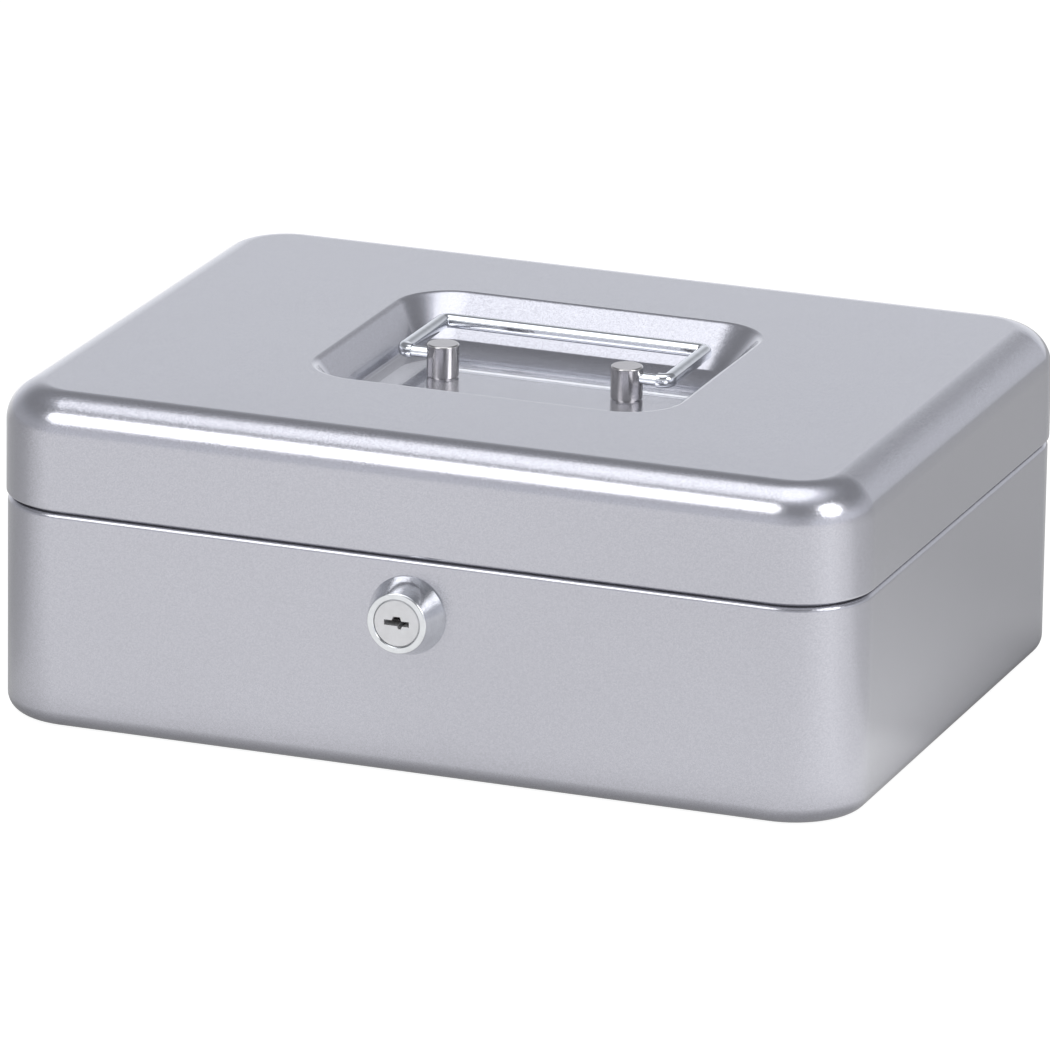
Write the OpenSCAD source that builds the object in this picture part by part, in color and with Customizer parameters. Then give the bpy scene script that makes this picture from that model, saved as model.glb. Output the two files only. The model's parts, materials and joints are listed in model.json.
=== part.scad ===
// Steel cash box: a deep-drawn base and hinged lid, a folding carrying handle in
// a recess of the lid, a keyed lock with a hook cam, and a lift-out coin tray.
// Millimetres. +X is right, +Y is the back (hinge) side, +Z is up.
// The origin is the centre of the base's footprint, on the surface it stands on.

/* [Case] */
// Width of the lid, left to right
box_w = 250; // [220:1:300]
// Depth of the lid, front to back
box_d = 190; // [180:1:240]
// Height of the closed box
box_h = 94; // [92:1:110]
// Height of the seam between base and lid
seam_z = 62; // [60:0.5:64]
// Outside radius of the upright corners
corner_r = 22; // [18:0.5:26]
// Outside radius of the lid's top edge
top_r = 11; // [6:0.5:12]
// Outside radius of the base's bottom edge
foot_r = 5; // [3:0.5:8]
// Thickness of the steel sheet
sheet_t = 0.8; // [0.6:0.05:1]
// How far the lid stands proud of the base, each side
lid_proud = 0.4; // [0.2:0.1:0.8]
// Open height of the seam
seam_gap = 0.6; // [0.4:0.1:1]
// Outside radius of the shoulder that the base's wall turns in with
shoulder_r = 1.6; // [1.3:0.1:1.8]
// Height of the base's inner rim above the seam
rim_h = 6; // [5:0.5:7]
// Thickness of the folded hem along the lid's lower edge
hem_t = 2; // [1.8:0.1:2.2]
// Height of that hem
hem_h = 5; // [3:0.5:6]
// Gap between the lid's hem and the base's inner rim
rim_gap = 0.6; // [0.5:0.1:0.8]

/* [Handle recess] */
// Width of the recess at the lid's top
recess_w = 108.6; // [100:0.2:120]
// Depth of the recess, front to back, at the lid's top
recess_d = 94.2; // [84:0.2:100]
// How far the recess's middle lies behind the lid's middle
recess_y = 2.8; // [0:0.2:4]
// How deep the recess is pressed
recess_depth = 10; // [9:0.5:12]
// Corner radius of the recess at the lid's top
recess_corner_r = 12.5; // [11:0.5:18]
// Slope of the recess's wall, in degrees from level
recess_lean = 80; // [65:1:86]
// Radius along the recess's upper edge
recess_rim_r = 6.5; // [3:0.5:7]
// Radius between the recess's wall and floor
recess_floor_r = 2; // [1.5:0.25:2.5]

/* [Handle] */
// Distance between the middles of the handle's posts
post_pitch = 54.2; // [48:0.2:60]
// Diameter of a post
post_d = 9; // [8:0.5:10]
// How far a post stands up from the recess's floor
post_h = 9.6; // [8.8:0.2:10]
// How far the handle's axis lies under a post's top
pivot_drop = 3.2; // [2.8:0.1:3.6]
// Overall width of the bail
bail_w = 82; // [76:1:88]
// Reach of the bail from its axis to the middle of its grip bar
bail_reach = 32; // [26:1:34]
// Thickness of the bail's square bar
bar_t = 3.6; // [3.2:0.1:4]
// Edge radius of that bar
bar_edge_r = 0.9; // [0.4:0.1:1.2]
// Bend radius of the bar's middle line
bend_r = 2.2; // [2:0.1:3.5]
// Diameter of the bail's turned ends
stub_d = 3.2; // [2.6:0.1:3.4]
// How far a turned end goes into its post
stub_in = 5.5; // [4:0.5:6]
// Radial running clearance of the turned ends in the posts
stub_clear = 0.05; // [0.03:0.01:0.08]
// Diameter of the screws that hold the posts
screw_d = 4; // [3:0.5:4]

/* [Lock] */
// Height of the lock's axis above the ground
lock_z = 46; // [44:0.5:47]
// Diameter of the bezel where it meets the box
bezel_d = 22; // [21:0.5:25]
// Diameter of the bezel's front ring
bezel_front_d = 16.6; // [16:0.2:18]
// How far the bezel stands out from the box
bezel_l = 8.5; // [7:0.5:10]
// Diameter of the lock's barrel through the wall
barrel_d = 16; // [15.5:0.5:17]
// Distance across the barrel's two flats
barrel_flats = 14; // [13.6:0.2:15]
// How far the barrel reaches behind the wall's outer face
barrel_l = 10.6; // [10:0.2:12]
// Diameter of the plug's face
plug_d = 13.2; // [13:0.2:13.6]
// Diameter of the plug's body behind its face
plug_body_d = 12.2; // [11.8:0.2:12.4]
// Length of the plug's face collar
plug_head_l = 3.2; // [2:0.2:3.4]
// Radial running clearance of the plug
plug_clear = 0.05; // [0.03:0.01:0.08]
// Across the plug's square tail
tail_w = 7; // [6.5:0.25:7.5]
// Thickness of the cam
cam_t = 2; // [1.5:0.25:2.5]
// Inner radius of the cam's hook
hook_in_r = 12; // [11.5:0.25:12.5]
// Outer radius of the cam's hook
hook_out_r = 17; // [16:0.25:17.5]
// Half the angle that the hook spans
hook_half = 30; // [24:1:32]
// Turn of the key between unlocked and locked
key_turn = 90; // [85:1:95]
// Number of wafer tumblers
wafers = 4; // [3:1:4]

/* [Hinges] */
// Distance of each hinge's middle from the box's end
hinge_inset = 55; // [50:1:60]
// Length of a hinge
hinge_len = 44; // [36:1:50]
// Thickness of a hinge leaf
leaf_t = 1; // [0.8:0.1:1.1]
// Height of the base's hinge leaf
leaf_h = 17; // [14:1:18]
// Gap between the lid's hinge leaf and the start of the lid's top edge radius
leaf_top_gap = 1.4; // [1:0.2:3]
// Diameter of a hinge knuckle
knuckle_d = 4.4; // [4.2:0.1:4.6]
// Diameter of a hinge pin
pin_d = 2; // [1.8:0.1:2.2]
// Length of the middle knuckle, on the lid's leaf
mid_knuckle = 15; // [10:1:18]
// How far the lid opens before its hinges' heels meet the base's back
lid_open = 105; // [95:1:120]

/* [Coin tray] */
// Columns of coin compartments
tray_cols = 4; // [3:1:4]
// Depth of the tray below its flange
tray_depth = 26; // [22:1:28]
// Wall of the tray
tray_wall = 1.8; // [1.5:0.1:2.2]
// Dividers between compartments
tray_div = 1.6; // [1.2:0.1:2]
// Thickness of the tray's flange
flange_t = 1.6; // [1.4:0.1:2]
// Radius of the scoop along the front and back of each compartment
scoop_r = 12; // [8:1:14]
// Side clearance between the tray and the base's inner rim
tray_clear = 0.8; // [0.5:0.1:1.2]
// Width of the bay that the tray leaves for the lock
bay_w = 48; // [46:1:54]
// Height of the tray's two lifting tabs
tab_h = 13; // [8:1:14]

/* [Hidden] */
$fn = 48;
STEP = 0.01;              // smallest clearance between pieces that are fixed together
OVER = 1;                 // how far a cut runs past what it cuts
ARC_N = 8;                // steps along a quarter arc of an outline

// Case: places across the wall are given as a radius from the corner's own axis.
lid_z = seam_z + seam_gap / 2;
shoulder_z = seam_z - seam_gap / 2;
rim_z = seam_z + rim_h;
base_r = corner_r - lid_proud;
rim_out_r = corner_r - hem_t - rim_gap;
rim_in_r = rim_out_r - sheet_t;
base_face = box_d / 2 - lid_proud;
lid_in_y = box_d / 2 - sheet_t;
base_in_y = base_face - sheet_t;

// Handle recess and its posts.
floor_z = box_h - recess_depth;
recess_arc = recess_rim_r + recess_floor_r;
recess_slant = (recess_depth - recess_arc * (1 - cos(recess_lean))) / sin(recess_lean);
recess_run = recess_arc * sin(recess_lean) + recess_slant * cos(recess_lean);
post_x = post_pitch / 2;
pivot_z = floor_z + post_h - pivot_drop;
post_edge = 0.4;
stub_end_gap = 0.3;
shank_d = 5;
shank_clear = 0.1;
post_washer_d = 12;
post_washer_t = 1;
post_screw_head_d = 8;
post_screw_head_t = 2.4;
post_thread_l = 4;
screw_end_gap = 0.3;
screw_hole_clear = 0.15;
arm_x = (bail_w - bar_t) / 2;
square_run = 0.6;         // square bar left between the front bend and the turned end

// Lock: lengths along its axis are measured forwards from the wall's outer face.
washer_t = 0.8;
nut_t = 3;
nut_af = 20;
lock_washer_d = 21;
thread_clear = 0.05;
bore_edge = 0.3;
bezel_edge = 0.5;
plug_sunk = 0.2;
key_l = 14;
key_w = 7.2;
tail_clear = 0.05;
stop_t = 1;
stop_r = plug_body_d / 2 + 1.4;
stop_half = 4;            // half the angle that the stop lug spans
stop_margin = 6;
stop_lug_l = 1.2;
stop_lug_clear = 0.3;
stop_lug_w = 1;
stop_mid = 90 + key_turn / 2;
cam_hub_r = 7.4;
arm_angle = 24;
head_clear = 0.1;
head_back = bezel_l - plug_sunk - plug_head_l;
stop_gap = 0.4;           // end play of the plug in the barrel
stop_back = -barrel_l - stop_gap - stop_t;
cam_back = stop_back - cam_t;
spring_washer_t = 0.8;
spring_washer_d = 10;
cam_screw_head_d = 7.6;
cam_screw_head_t = 2.4;
cam_screw_l = 6;
tail_short = 0.2;
wafer_t = 1;
wafer_pitch = 2.1;
wafer_h = 6;
wafer_gap = 0.1;
wafer_key_h = 4.2;
wafer_key_w = key_w + 0.4;
wafer_first = head_back - 1.6;
lug_w = 1.2;
lug_h = 1.2;
spring_l = 2.8;
spring_r = 0.38;
spring_wire_r = 0.11;
spring_turns = 4;

// Striker on the lid, which the cam's hook catches.
striker_t = 1.5;
striker_w = 28;
striker_shelf_z = rim_z + 2;
window_clear = 1.2;       // room round the hook in the striker's window
striker_foot = 2.7;       // steel left under the window
striker_side = 3;

// Hinges: the axis is level with the seam.
hinge_x = box_w / 2 - hinge_inset;
hinge_z = seam_z;
hinge_y = base_in_y - leaf_t + knuckle_d / 2;
knuckle_gap = 0.4;
pin_clear = 0.05;
notch_clear = 0.4;
web_lap = 1;              // how far a knuckle's web runs on into its leaf
base_leaf_top = hinge_z - knuckle_d / 2 - notch_clear;
lid_leaf_bottom = hinge_z + knuckle_d / 2 + notch_clear;
lid_leaf_h = box_h - top_r - leaf_top_gap - lid_leaf_bottom;
out_knuckle = (hinge_len - mid_knuckle) / 2 - knuckle_gap;
heel_lap = 2;             // how far the heel reaches down the base's back
heel_l = knuckle_d / 2 + notch_clear + heel_lap;
heel_clear = 0.1;
heel_t = 1.6;

// Coin tray, which rests on the base's inner rim.
tray_seat = 0.1;
tray_z = rim_z + tray_seat;
tray_bottom = tray_z - tray_depth;
tray_r = rim_in_r - tray_clear;
tray_in_x = box_w / 2 - corner_r + tray_r - tray_wall;
tray_in_y = box_d / 2 - corner_r + tray_r - tray_wall;
bay_clear = 6.4;          // room behind the cam's screw
bay_y = -base_face - cam_back + spring_washer_t + cam_screw_head_t + bay_clear;
bay_back = bay_y + tray_wall;
col_w = (2 * tray_in_x - (tray_cols - 1) * tray_div) / tray_cols;
row_l = (tray_in_y - bay_back - tray_div) / 2;
tab_w = 30;
tab_t = 3;
tab_r = 6;
tab_x = (col_w + tray_div) * (tray_cols == 4 ? 1.5 : 1);

SIDES = [["left", -1], ["right", 1]];

// ---- outlines -------------------------------------------------------------

// Points along an arc, both ends included.
function arc(c, r, from, to, n = ARC_N) =
    [for (i = [0:n]) c + r * [cos(from + (to - from) * i / n), sin(from + (to - from) * i / n)]];

// Cross-section of the lid's wall, from its hem up and over the top edge.
module lid_wall_outline() {
    hem_r = hem_t / 2;
    polygon(concat(
        [[corner_r - hem_t, lid_z + hem_h]],
        arc([corner_r - hem_r, lid_z + hem_r], hem_r, 180, 360),
        arc([corner_r - top_r, box_h - top_r], top_r, 0, 90),
        arc([corner_r - top_r, box_h - top_r], top_r - sheet_t, 90, 0),
        [[corner_r - sheet_t, lid_z + hem_h]]
    ));
}

// Cross-section of the base's wall, from its foot up over the shoulder to the inner rim.
module base_wall_outline() {
    foot = [base_r - foot_r, foot_r];
    turn = [base_r - shoulder_r, shoulder_z - shoulder_r];
    polygon(concat(
        arc(foot, foot_r, -90, 0),
        arc(turn, shoulder_r, 0, 90, 5),
        [[rim_out_r, shoulder_z], [rim_out_r, rim_z]],
        [[rim_in_r, rim_z], [rim_in_r, shoulder_z - sheet_t]],
        arc(turn, shoulder_r - sheet_t, 90, 0, 5),
        arc(foot, foot_r - sheet_t, 0, -90)
    ));
}

// Cross-section of the recess's wall, from the lid's top down to the recess's floor.
module recess_wall_outline() {
    rim = [recess_corner_r, box_h - recess_rim_r];
    foot = [recess_corner_r - recess_run, floor_z + recess_floor_r];
    polygon(concat(
        arc(rim, recess_rim_r, 90, 90 + recess_lean, 6),
        arc(foot, recess_floor_r, recess_lean - 90, -90, 6),
        arc(foot, recess_floor_r + sheet_t, -90, recess_lean - 90, 6),
        arc(rim, recess_rim_r - sheet_t, 90 + recess_lean, 90, 6)
    ));
}

// Square bar with rounded edges.
module bar_outline() {
    c = bar_t / 2 - bar_edge_r;
    polygon([for (q = [0:3]) each arc([(q == 0 || q == 3) ? c : -c, q < 2 ? c : -c],
                                      bar_edge_r, 90 * q, 90 * q + 90, 3)]);
}

// Keyway with a ward above and below its middle.
module keyway_outline() {
    w = key_w / 2;
    polygon([[-w, -0.7], [0.2, -0.7], [0.5, -1.5], [1.3, -1.5], [1.6, -0.7], [w, -0.7],
             [w, 0.8], [1.4, 0.8], [1, 1.9], [-1, 1.9], [-1.4, 0.8], [-w, 0.8]]);
}

// Circle sector between two angles, for cutting rings.
module sector_outline(r, from, to) {
    polygon(concat([[0, 0]], arc([0, 0], r, from, to, 6)));
}

// ---- shapes that repeat ---------------------------------------------------

// Runs a cross-section round a rectangle with round corners. The cross-section's
// x is the distance from a corner's own axis, and the rectangle's edge is at x = r.
module round_the_case(w, d, r) {
    for (k = [0:3]) {
        long = (k % 2 == 0) ? [w, d] : [d, w];
        rotate([0, 0, 90 * k]) {
            translate([long[0] / 2 - r, long[1] / 2 - r, 0])
                rotate_extrude(angle = 90) children();
            translate([long[0] / 2 - r, long[1] / 2 - r, 0])
                rotate([90, 0, 0]) linear_extrude(long[1] - 2 * r) children();
        }
    }
}

// Flat slab with round corners.
module slab(w, d, r, h) {
    round_the_case(w, d, r) square([r, h]);
    translate([-w / 2 + r, -d / 2 + r, 0]) cube([w - 2 * r, d - 2 * r, h]);
}

// A slab whose edge lies at radius r from the case's own corner axes.
module case_slab(r, z, h) {
    translate([0, 0, z]) slab(box_w - 2 * (corner_r - r), box_d - 2 * (corner_r - r), r, h);
}

// Turns +Z forwards along the lock's axis, from the base's outer face.
module on_lock_axis() {
    translate([0, -base_face, lock_z]) rotate([90, 0, 0]) children();
}

// Cylinder from z = a to z = b.
module rod(r, a, b) {
    translate([0, 0, min(a, b)]) cylinder(r = r, h = abs(b - a));
}

// Cone from radius ra at z = a to radius rb at z = b.
module cone(ra, rb, a, b) {
    translate([0, 0, a]) cylinder(r1 = ra, r2 = rb, h = b - a);
}

// Cylinder along X from x = a to x = b.
module cross_rod(r, a, b) {
    translate([min(a, b), 0, 0]) rotate([0, 90, 0]) cylinder(r = r, h = abs(b - a));
}

// Lock barrel's cross-section: a circle with two flats.
module two_flats(r, flats, a, b) {
    intersection() {
        rod(r, a, b);
        translate([-r - OVER, -flats / 2, min(a, b) - OVER])
            cube([2 * (r + OVER), flats, abs(b - a) + 2 * OVER]);
    }
}

// Hole that the lock's barrel passes through.
module barrel_hole(a, b) {
    two_flats(barrel_d / 2 + thread_clear, barrel_flats + 2 * thread_clear, a, b);
}

// Screw with a crossed slot: its head's underside is at z = 0 and it points up.
module pan_screw(d, l, head_d, head_t) {
    slot_w = head_d / 8;
    slot_l = head_d * 0.55;
    slot_depth = head_t / 2;
    difference() {
        union() {
            rod(d / 2, 0, l);
            rod(head_d / 2, -head_t * 0.6, 0);
            cone(head_d * 0.36, head_d / 2, -head_t, -head_t * 0.6);
        }
        for (a = [0, 90])
            rotate([0, 0, a]) translate([-slot_l / 2, -slot_w / 2, -head_t - OVER])
                cube([slot_l, slot_w, slot_depth + OVER]);
    }
}

// Round wire wound along X from x = 0 to x = l.
module coil(l, r, wire_r, turns) {
    sides = 5;
    per_turn = 8;
    n = turns * per_turn;
    function out(i) = [0, cos(360 * i / per_turn), sin(360 * i / per_turn)];
    function centre(i) = [wire_r + (l - 2 * wire_r) * i / n, 0, 0] + r * out(i);
    function across(s) = wire_r * [cos(360 * s / sides), sin(360 * s / sides)];
    points = [for (i = [0:n]) for (s = [0:sides - 1]) centre(i) + across(s)[0] * out(i) + [across(s)[1], 0, 0]];
    walls = [for (i = [0:n - 1]) for (s = [0:sides - 1])
        let (a = i * sides + s, b = i * sides + (s + 1) % sides)
            each [[a, b, b + sides], [a, b + sides, a + sides]]];
    ends = [[for (s = [sides - 1:-1:0]) s], [for (s = [0:sides - 1]) n * sides + s]];
    polyhedron(points, concat(walls, ends));
}

// ---- case -----------------------------------------------------------------

// Room cut into the back of a shell for both hinges.
module hinge_notches(y0, y1, z0, z1) {
    for (s = SIDES)
        translate([s[1] * hinge_x - hinge_len / 2 - notch_clear, y0, z0])
            cube([hinge_len + 2 * notch_clear, y1 - y0, z1 - z0]);
}

module base_shell() {
    color("silver") difference() {
        union() {
            round_the_case(box_w, box_d, corner_r) base_wall_outline();
            case_slab(base_r - foot_r, 0, sheet_t);
        }
        on_lock_axis() barrel_hole(-sheet_t - OVER, OVER);
        hinge_notches(box_d / 2 - corner_r + rim_out_r, box_d / 2 + OVER, base_leaf_top, hinge_z);
    }
}

module lid_shell() {
    rim_w = recess_w - 2 * recess_run;
    rim_d = recess_d - 2 * recess_run;
    color("silver") difference() {
        union() {
            round_the_case(box_w, box_d, corner_r) lid_wall_outline();
            difference() {
                case_slab(corner_r - top_r, box_h - sheet_t, sheet_t);
                translate([0, recess_y, box_h - sheet_t - OVER])
                    slab(recess_w, recess_d, recess_corner_r, sheet_t + 2 * OVER);
            }
            translate([0, recess_y, 0])
                round_the_case(recess_w, recess_d, recess_corner_r) recess_wall_outline();
            translate([0, recess_y, floor_z - sheet_t])
                slab(rim_w, rim_d, recess_corner_r - recess_run, sheet_t);
        }
        for (s = SIDES)
            translate([s[1] * post_x, 0, 0])
                rod(shank_d / 2 + shank_clear, floor_z - sheet_t - OVER, floor_z + OVER);
        hinge_notches(box_d / 2 - hem_t - OVER, box_d / 2 + OVER, lid_z - OVER, lid_leaf_bottom);
        hinge_notches(box_d / 2 - hem_t - OVER, lid_in_y, lid_z - OVER, lid_z + hem_h + notch_clear);
    }
}

// Angle welded inside the lid's front: its hanging leg has the window for the cam's hook.
module striker_bracket() {
    cam_y = -base_face - cam_back - cam_t / 2;
    leg_l = cam_t + 2 * window_clear + 2 * striker_side;
    window_z = lock_z + hook_in_r - window_clear;
    color("lightsteelblue") difference() {
        union() {
            translate([-striker_w / 2, -lid_in_y, rim_z + STEP])
                cube([striker_w, striker_t, box_h - top_r - leaf_top_gap - rim_z]);
            translate([-striker_w / 2, -lid_in_y, striker_shelf_z])
                cube([striker_w / 2 + striker_t / 2, cam_y + leg_l / 2 + lid_in_y, striker_t]);
            translate([-striker_t / 2, cam_y - leg_l / 2, window_z - striker_foot])
                cube([striker_t, leg_l, striker_shelf_z + striker_t - window_z + striker_foot]);
        }
        translate([-striker_t, cam_y - cam_t / 2 - window_clear, window_z])
            cube([2 * striker_t, cam_t + 2 * window_clear, hook_out_r - hook_in_r + 2 * window_clear]);
    }
}

// ---- hinges ---------------------------------------------------------------

module hinge_base_leaf(side) {
    knuckle_x = (mid_knuckle + out_knuckle) / 2 + knuckle_gap;
    color("gainsboro") translate([side * hinge_x, 0, 0]) difference() {
        union() {
            translate([-hinge_len / 2, base_in_y - leaf_t, base_leaf_top - leaf_h])
                cube([hinge_len, leaf_t, leaf_h]);
            for (s = [-1, 1]) {
                translate([s * knuckle_x - out_knuckle / 2, hinge_y, hinge_z])
                    cross_rod(knuckle_d / 2, 0, out_knuckle);
                translate([s * knuckle_x - out_knuckle / 2, base_in_y - leaf_t, base_leaf_top - web_lap])
                    cube([out_knuckle, leaf_t, hinge_z - base_leaf_top + web_lap]);
            }
        }
        translate([0, hinge_y, hinge_z]) cross_rod(pin_d / 2 + STEP, -hinge_len, hinge_len);
    }
}

// Cross-section of the lid leaf's knuckle about the hinge's axis, y to the right and z up:
// the barrel, the web up to the leaf, and the heel that stops the open lid on the base's back.
module lid_knuckle_outline() {
    web_y = lid_in_y - leaf_t - hinge_y;
    difference() {
        union() {
            circle(knuckle_d / 2);
            translate([web_y, 0]) square([leaf_t, lid_leaf_bottom - hinge_z + web_lap]);
            rotate(lid_open)
                translate([base_face + heel_clear - hinge_y, -heel_l]) square([heel_t, heel_l]);
        }
        circle(pin_d / 2 + pin_clear);
    }
}

module hinge_lid_leaf(side) {
    color("gainsboro") translate([side * hinge_x, 0, 0]) {
        translate([-hinge_len / 2, lid_in_y - leaf_t, lid_leaf_bottom])
            cube([hinge_len, leaf_t, lid_leaf_h]);
        translate([-mid_knuckle / 2, hinge_y, hinge_z])
            rotate([90, 0, 90]) linear_extrude(mid_knuckle) lid_knuckle_outline();
    }
}

module hinge_pin(side) {
    color("silver") translate([side * hinge_x, hinge_y, hinge_z])
        cross_rod(pin_d / 2, -hinge_len / 2, hinge_len / 2);
}

// ---- handle ---------------------------------------------------------------

module handle_post(side) {
    r = post_d / 2;
    color("darkgray") translate([side * post_x, 0, 0]) difference() {
        union() {
            rod(r, floor_z, floor_z + post_h - post_edge);
            cone(r, r - post_edge, floor_z + post_h - post_edge, floor_z + post_h);
            rod(shank_d / 2, floor_z - sheet_t, floor_z);
        }
        translate([0, 0, pivot_z])
            cross_rod(stub_d / 2 + stub_clear, side * (r - stub_in - stub_end_gap), side * (r + OVER));
        rod(screw_d / 2 + STEP, floor_z - sheet_t - OVER, floor_z + post_thread_l);
    }
}

module post_washer(side) {
    color("silver") translate([side * post_x, 0, floor_z - sheet_t - post_washer_t]) difference() {
        cylinder(r = post_washer_d / 2, h = post_washer_t);
        rod(screw_d / 2 + screw_hole_clear, -OVER, post_washer_t + OVER);
    }
}

module post_screw(side) {
    color("silver") translate([side * post_x, 0, floor_z - sheet_t - post_washer_t])
        pan_screw(screw_d, post_washer_t + sheet_t + post_thread_l - screw_end_gap, post_screw_head_d,
                  post_screw_head_t);
}

// Quarter turn of the bail's bar, from the given angle onwards.
module bar_bend(from) {
    rotate([0, 0, from]) rotate_extrude(angle = 90) translate([bend_r, 0]) bar_outline();
}

// Bail lying level behind its axis: a grip bar, two arms, and two turned ends in the posts.
module handle_bail() {
    stub_start = arm_x - bend_r - square_run;
    stub_end = post_x + post_d / 2 - stub_in;
    color("whitesmoke") translate([0, 0, pivot_z]) {
        translate([-arm_x + bend_r, bail_reach, 0])
            rotate([90, 0, 90]) linear_extrude(2 * (arm_x - bend_r)) bar_outline();
        for (s = [-1, 1]) {
            translate([s * arm_x, bail_reach - bend_r, 0])
                rotate([90, 0, 0]) linear_extrude(bail_reach - 2 * bend_r) bar_outline();
            translate([s * (arm_x - bend_r), bail_reach - bend_r, 0]) bar_bend(s > 0 ? 0 : 90);
            translate([s * (arm_x - bend_r), bend_r, 0]) bar_bend(s > 0 ? 270 : 180);
            translate([s > 0 ? stub_start : -stub_start - square_run, 0, 0])
                rotate([90, 0, 90]) linear_extrude(square_run) bar_outline();
            cross_rod(stub_d / 2, s * stub_end, s * (stub_start + square_run / 2));
        }
    }
}

// ---- lock -----------------------------------------------------------------

module lock_housing() {
    bore_r = plug_d / 2 + plug_clear;
    body_r = plug_body_d / 2 + plug_clear;
    front_r = bezel_front_d / 2;
    color("whitesmoke") on_lock_axis() difference() {
        union() {
            rod(bezel_d / 2, 0, bezel_edge);
            cone(bezel_d / 2, front_r + bezel_edge / 2, bezel_edge, bezel_l - bezel_edge);
            cone(front_r + bezel_edge / 2, front_r - bezel_edge / 2, bezel_l - bezel_edge, bezel_l);
            two_flats(barrel_d / 2, barrel_flats, -barrel_l, bezel_edge / 2);
        }
        rod(bore_r, head_back - head_clear, bezel_l + OVER);
        rod(body_r, -barrel_l - OVER, bezel_l);
        cone(bore_r, bore_r + bore_edge + STEP, bezel_l - bore_edge, bezel_l + STEP);
        translate([0, 0, -barrel_l - OVER]) linear_extrude(OVER + stop_lug_l + stop_lug_clear)
            sector_outline(barrel_d, 90 - key_turn / 2 - stop_margin, 90 + key_turn / 2 + stop_margin);
    }
}

module lock_washer() {
    color("silver") on_lock_axis() difference() {
        rod(lock_washer_d / 2, -sheet_t - washer_t, -sheet_t);
        barrel_hole(-sheet_t - washer_t - OVER, 0);
    }
}

module lock_nut() {
    color("silver") on_lock_axis() difference() {
        translate([0, 0, -sheet_t - washer_t - nut_t]) cylinder(r = nut_af / 2 / cos(30), h = nut_t, $fn = 6);
        rod(barrel_d / 2 + thread_clear, -sheet_t - washer_t - nut_t - OVER, 0);
    }
}

// Place of the wafer tumblers along the plug, in order from the front.
function wafer_z(i) = wafer_first - i * wafer_pitch;

// Room for one wafer, its side lug and its spring.
module wafer_slot() {
    t = wafer_t + 2 * wafer_gap;
    translate([-plug_d, -wafer_h / 2 - wafer_gap, -t / 2]) cube([2 * plug_d, wafer_h + 2 * wafer_gap, t]);
    translate([-lug_w, 0, -t / 2]) cube([2 * lug_w + spring_l, wafer_h / 2 + lug_h + 2 * wafer_gap, t]);
}

module lock_plug() {
    face = bezel_l - plug_sunk;
    tail_end = cam_back + tail_short;
    color("gainsboro") on_lock_axis() difference() {
        union() {
            rod(plug_d / 2, head_back, face - bore_edge);
            cone(plug_d / 2, plug_d / 2 - bore_edge, face - bore_edge, face);
            rod(plug_body_d / 2, -barrel_l - stop_gap, head_back);
            translate([-tail_w / 2, -tail_w / 2, tail_end]) cube([tail_w, tail_w, -barrel_l - tail_end]);
        }
        translate([0, 0, face - key_l]) linear_extrude(key_l + OVER) keyway_outline();
        for (i = [0:wafers - 1]) translate([0, 0, wafer_z(i)]) wafer_slot();
        rod(screw_d / 2 + STEP, tail_end - OVER, cam_back - spring_washer_t + cam_screw_l + screw_end_gap);
    }
}

module wafer_tumblers() {
    color("goldenrod") on_lock_axis() for (i = [0:wafers - 1])
        translate([0, 0, wafer_z(i) - wafer_t / 2]) difference() {
            union() {
                intersection() {
                    cylinder(r = plug_body_d / 2 - STEP, h = wafer_t);
                    translate([-plug_d, -wafer_h / 2, 0]) cube([2 * plug_d, wafer_h, wafer_t]);
                }
                translate([-lug_w / 2, 0, 0]) cube([lug_w, wafer_h / 2 + lug_h, wafer_t]);
            }
            translate([-wafer_key_w / 2, -wafer_key_h / 2, -OVER])
                cube([wafer_key_w, wafer_key_h, wafer_t + 2 * OVER]);
        }
}

module tumbler_springs() {
    color("silver") on_lock_axis() for (i = [0:wafers - 1])
        translate([lug_w / 2 + 0.15, wafer_h / 2 + lug_h / 2, wafer_z(i)])
            coil(spring_l, spring_r, spring_wire_r, spring_turns);
}

// Square hole that fits the plug's tail.
module tail_hole_outline() {
    square(tail_w + 2 * tail_clear, center = true);
}

// Lug on the stop washer's rim.
module stop_lug_outline() {
    intersection() {
        difference() {
            circle(stop_r);
            circle(stop_r - stop_lug_w);
        }
        sector_outline(barrel_d, stop_mid - stop_half, stop_mid + stop_half);
    }
}

// Turns with the plug: its lug runs in the cut at the barrel's end and stops the key's turn.
module stop_washer() {
    color("silver") on_lock_axis() difference() {
        union() {
            rod(stop_r, stop_back, stop_back + stop_t);
            translate([0, 0, stop_back + stop_t / 2])
                linear_extrude(stop_t / 2 + stop_gap + stop_lug_l) stop_lug_outline();
        }
        translate([0, 0, stop_back - OVER]) linear_extrude(stop_t + OVER + STEP) tail_hole_outline();
    }
}

// Hook cam, drawn unlocked: its hook lies to the left and turns up through the striker's window.
module lock_cam() {
    middle = 90 + key_turn;
    color("silver") on_lock_axis() translate([0, 0, cam_back]) linear_extrude(cam_t) difference() {
        union() {
            circle(cam_hub_r);
            intersection() {
                difference() {
                    circle(hook_out_r);
                    circle(hook_in_r);
                }
                sector_outline(2 * hook_out_r, middle - hook_half, middle + hook_half);
            }
            intersection() {
                circle((hook_in_r + hook_out_r) / 2);
                sector_outline(2 * hook_out_r, middle + hook_half - arm_angle, middle + hook_half);
            }
        }
        tail_hole_outline();
    }
}

module spring_washer() {
    color("silver") on_lock_axis() difference() {
        rod(spring_washer_d / 2, cam_back - spring_washer_t, cam_back);
        rod(screw_d / 2 + screw_hole_clear, cam_back - spring_washer_t - OVER, cam_back + OVER);
    }
}

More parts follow.
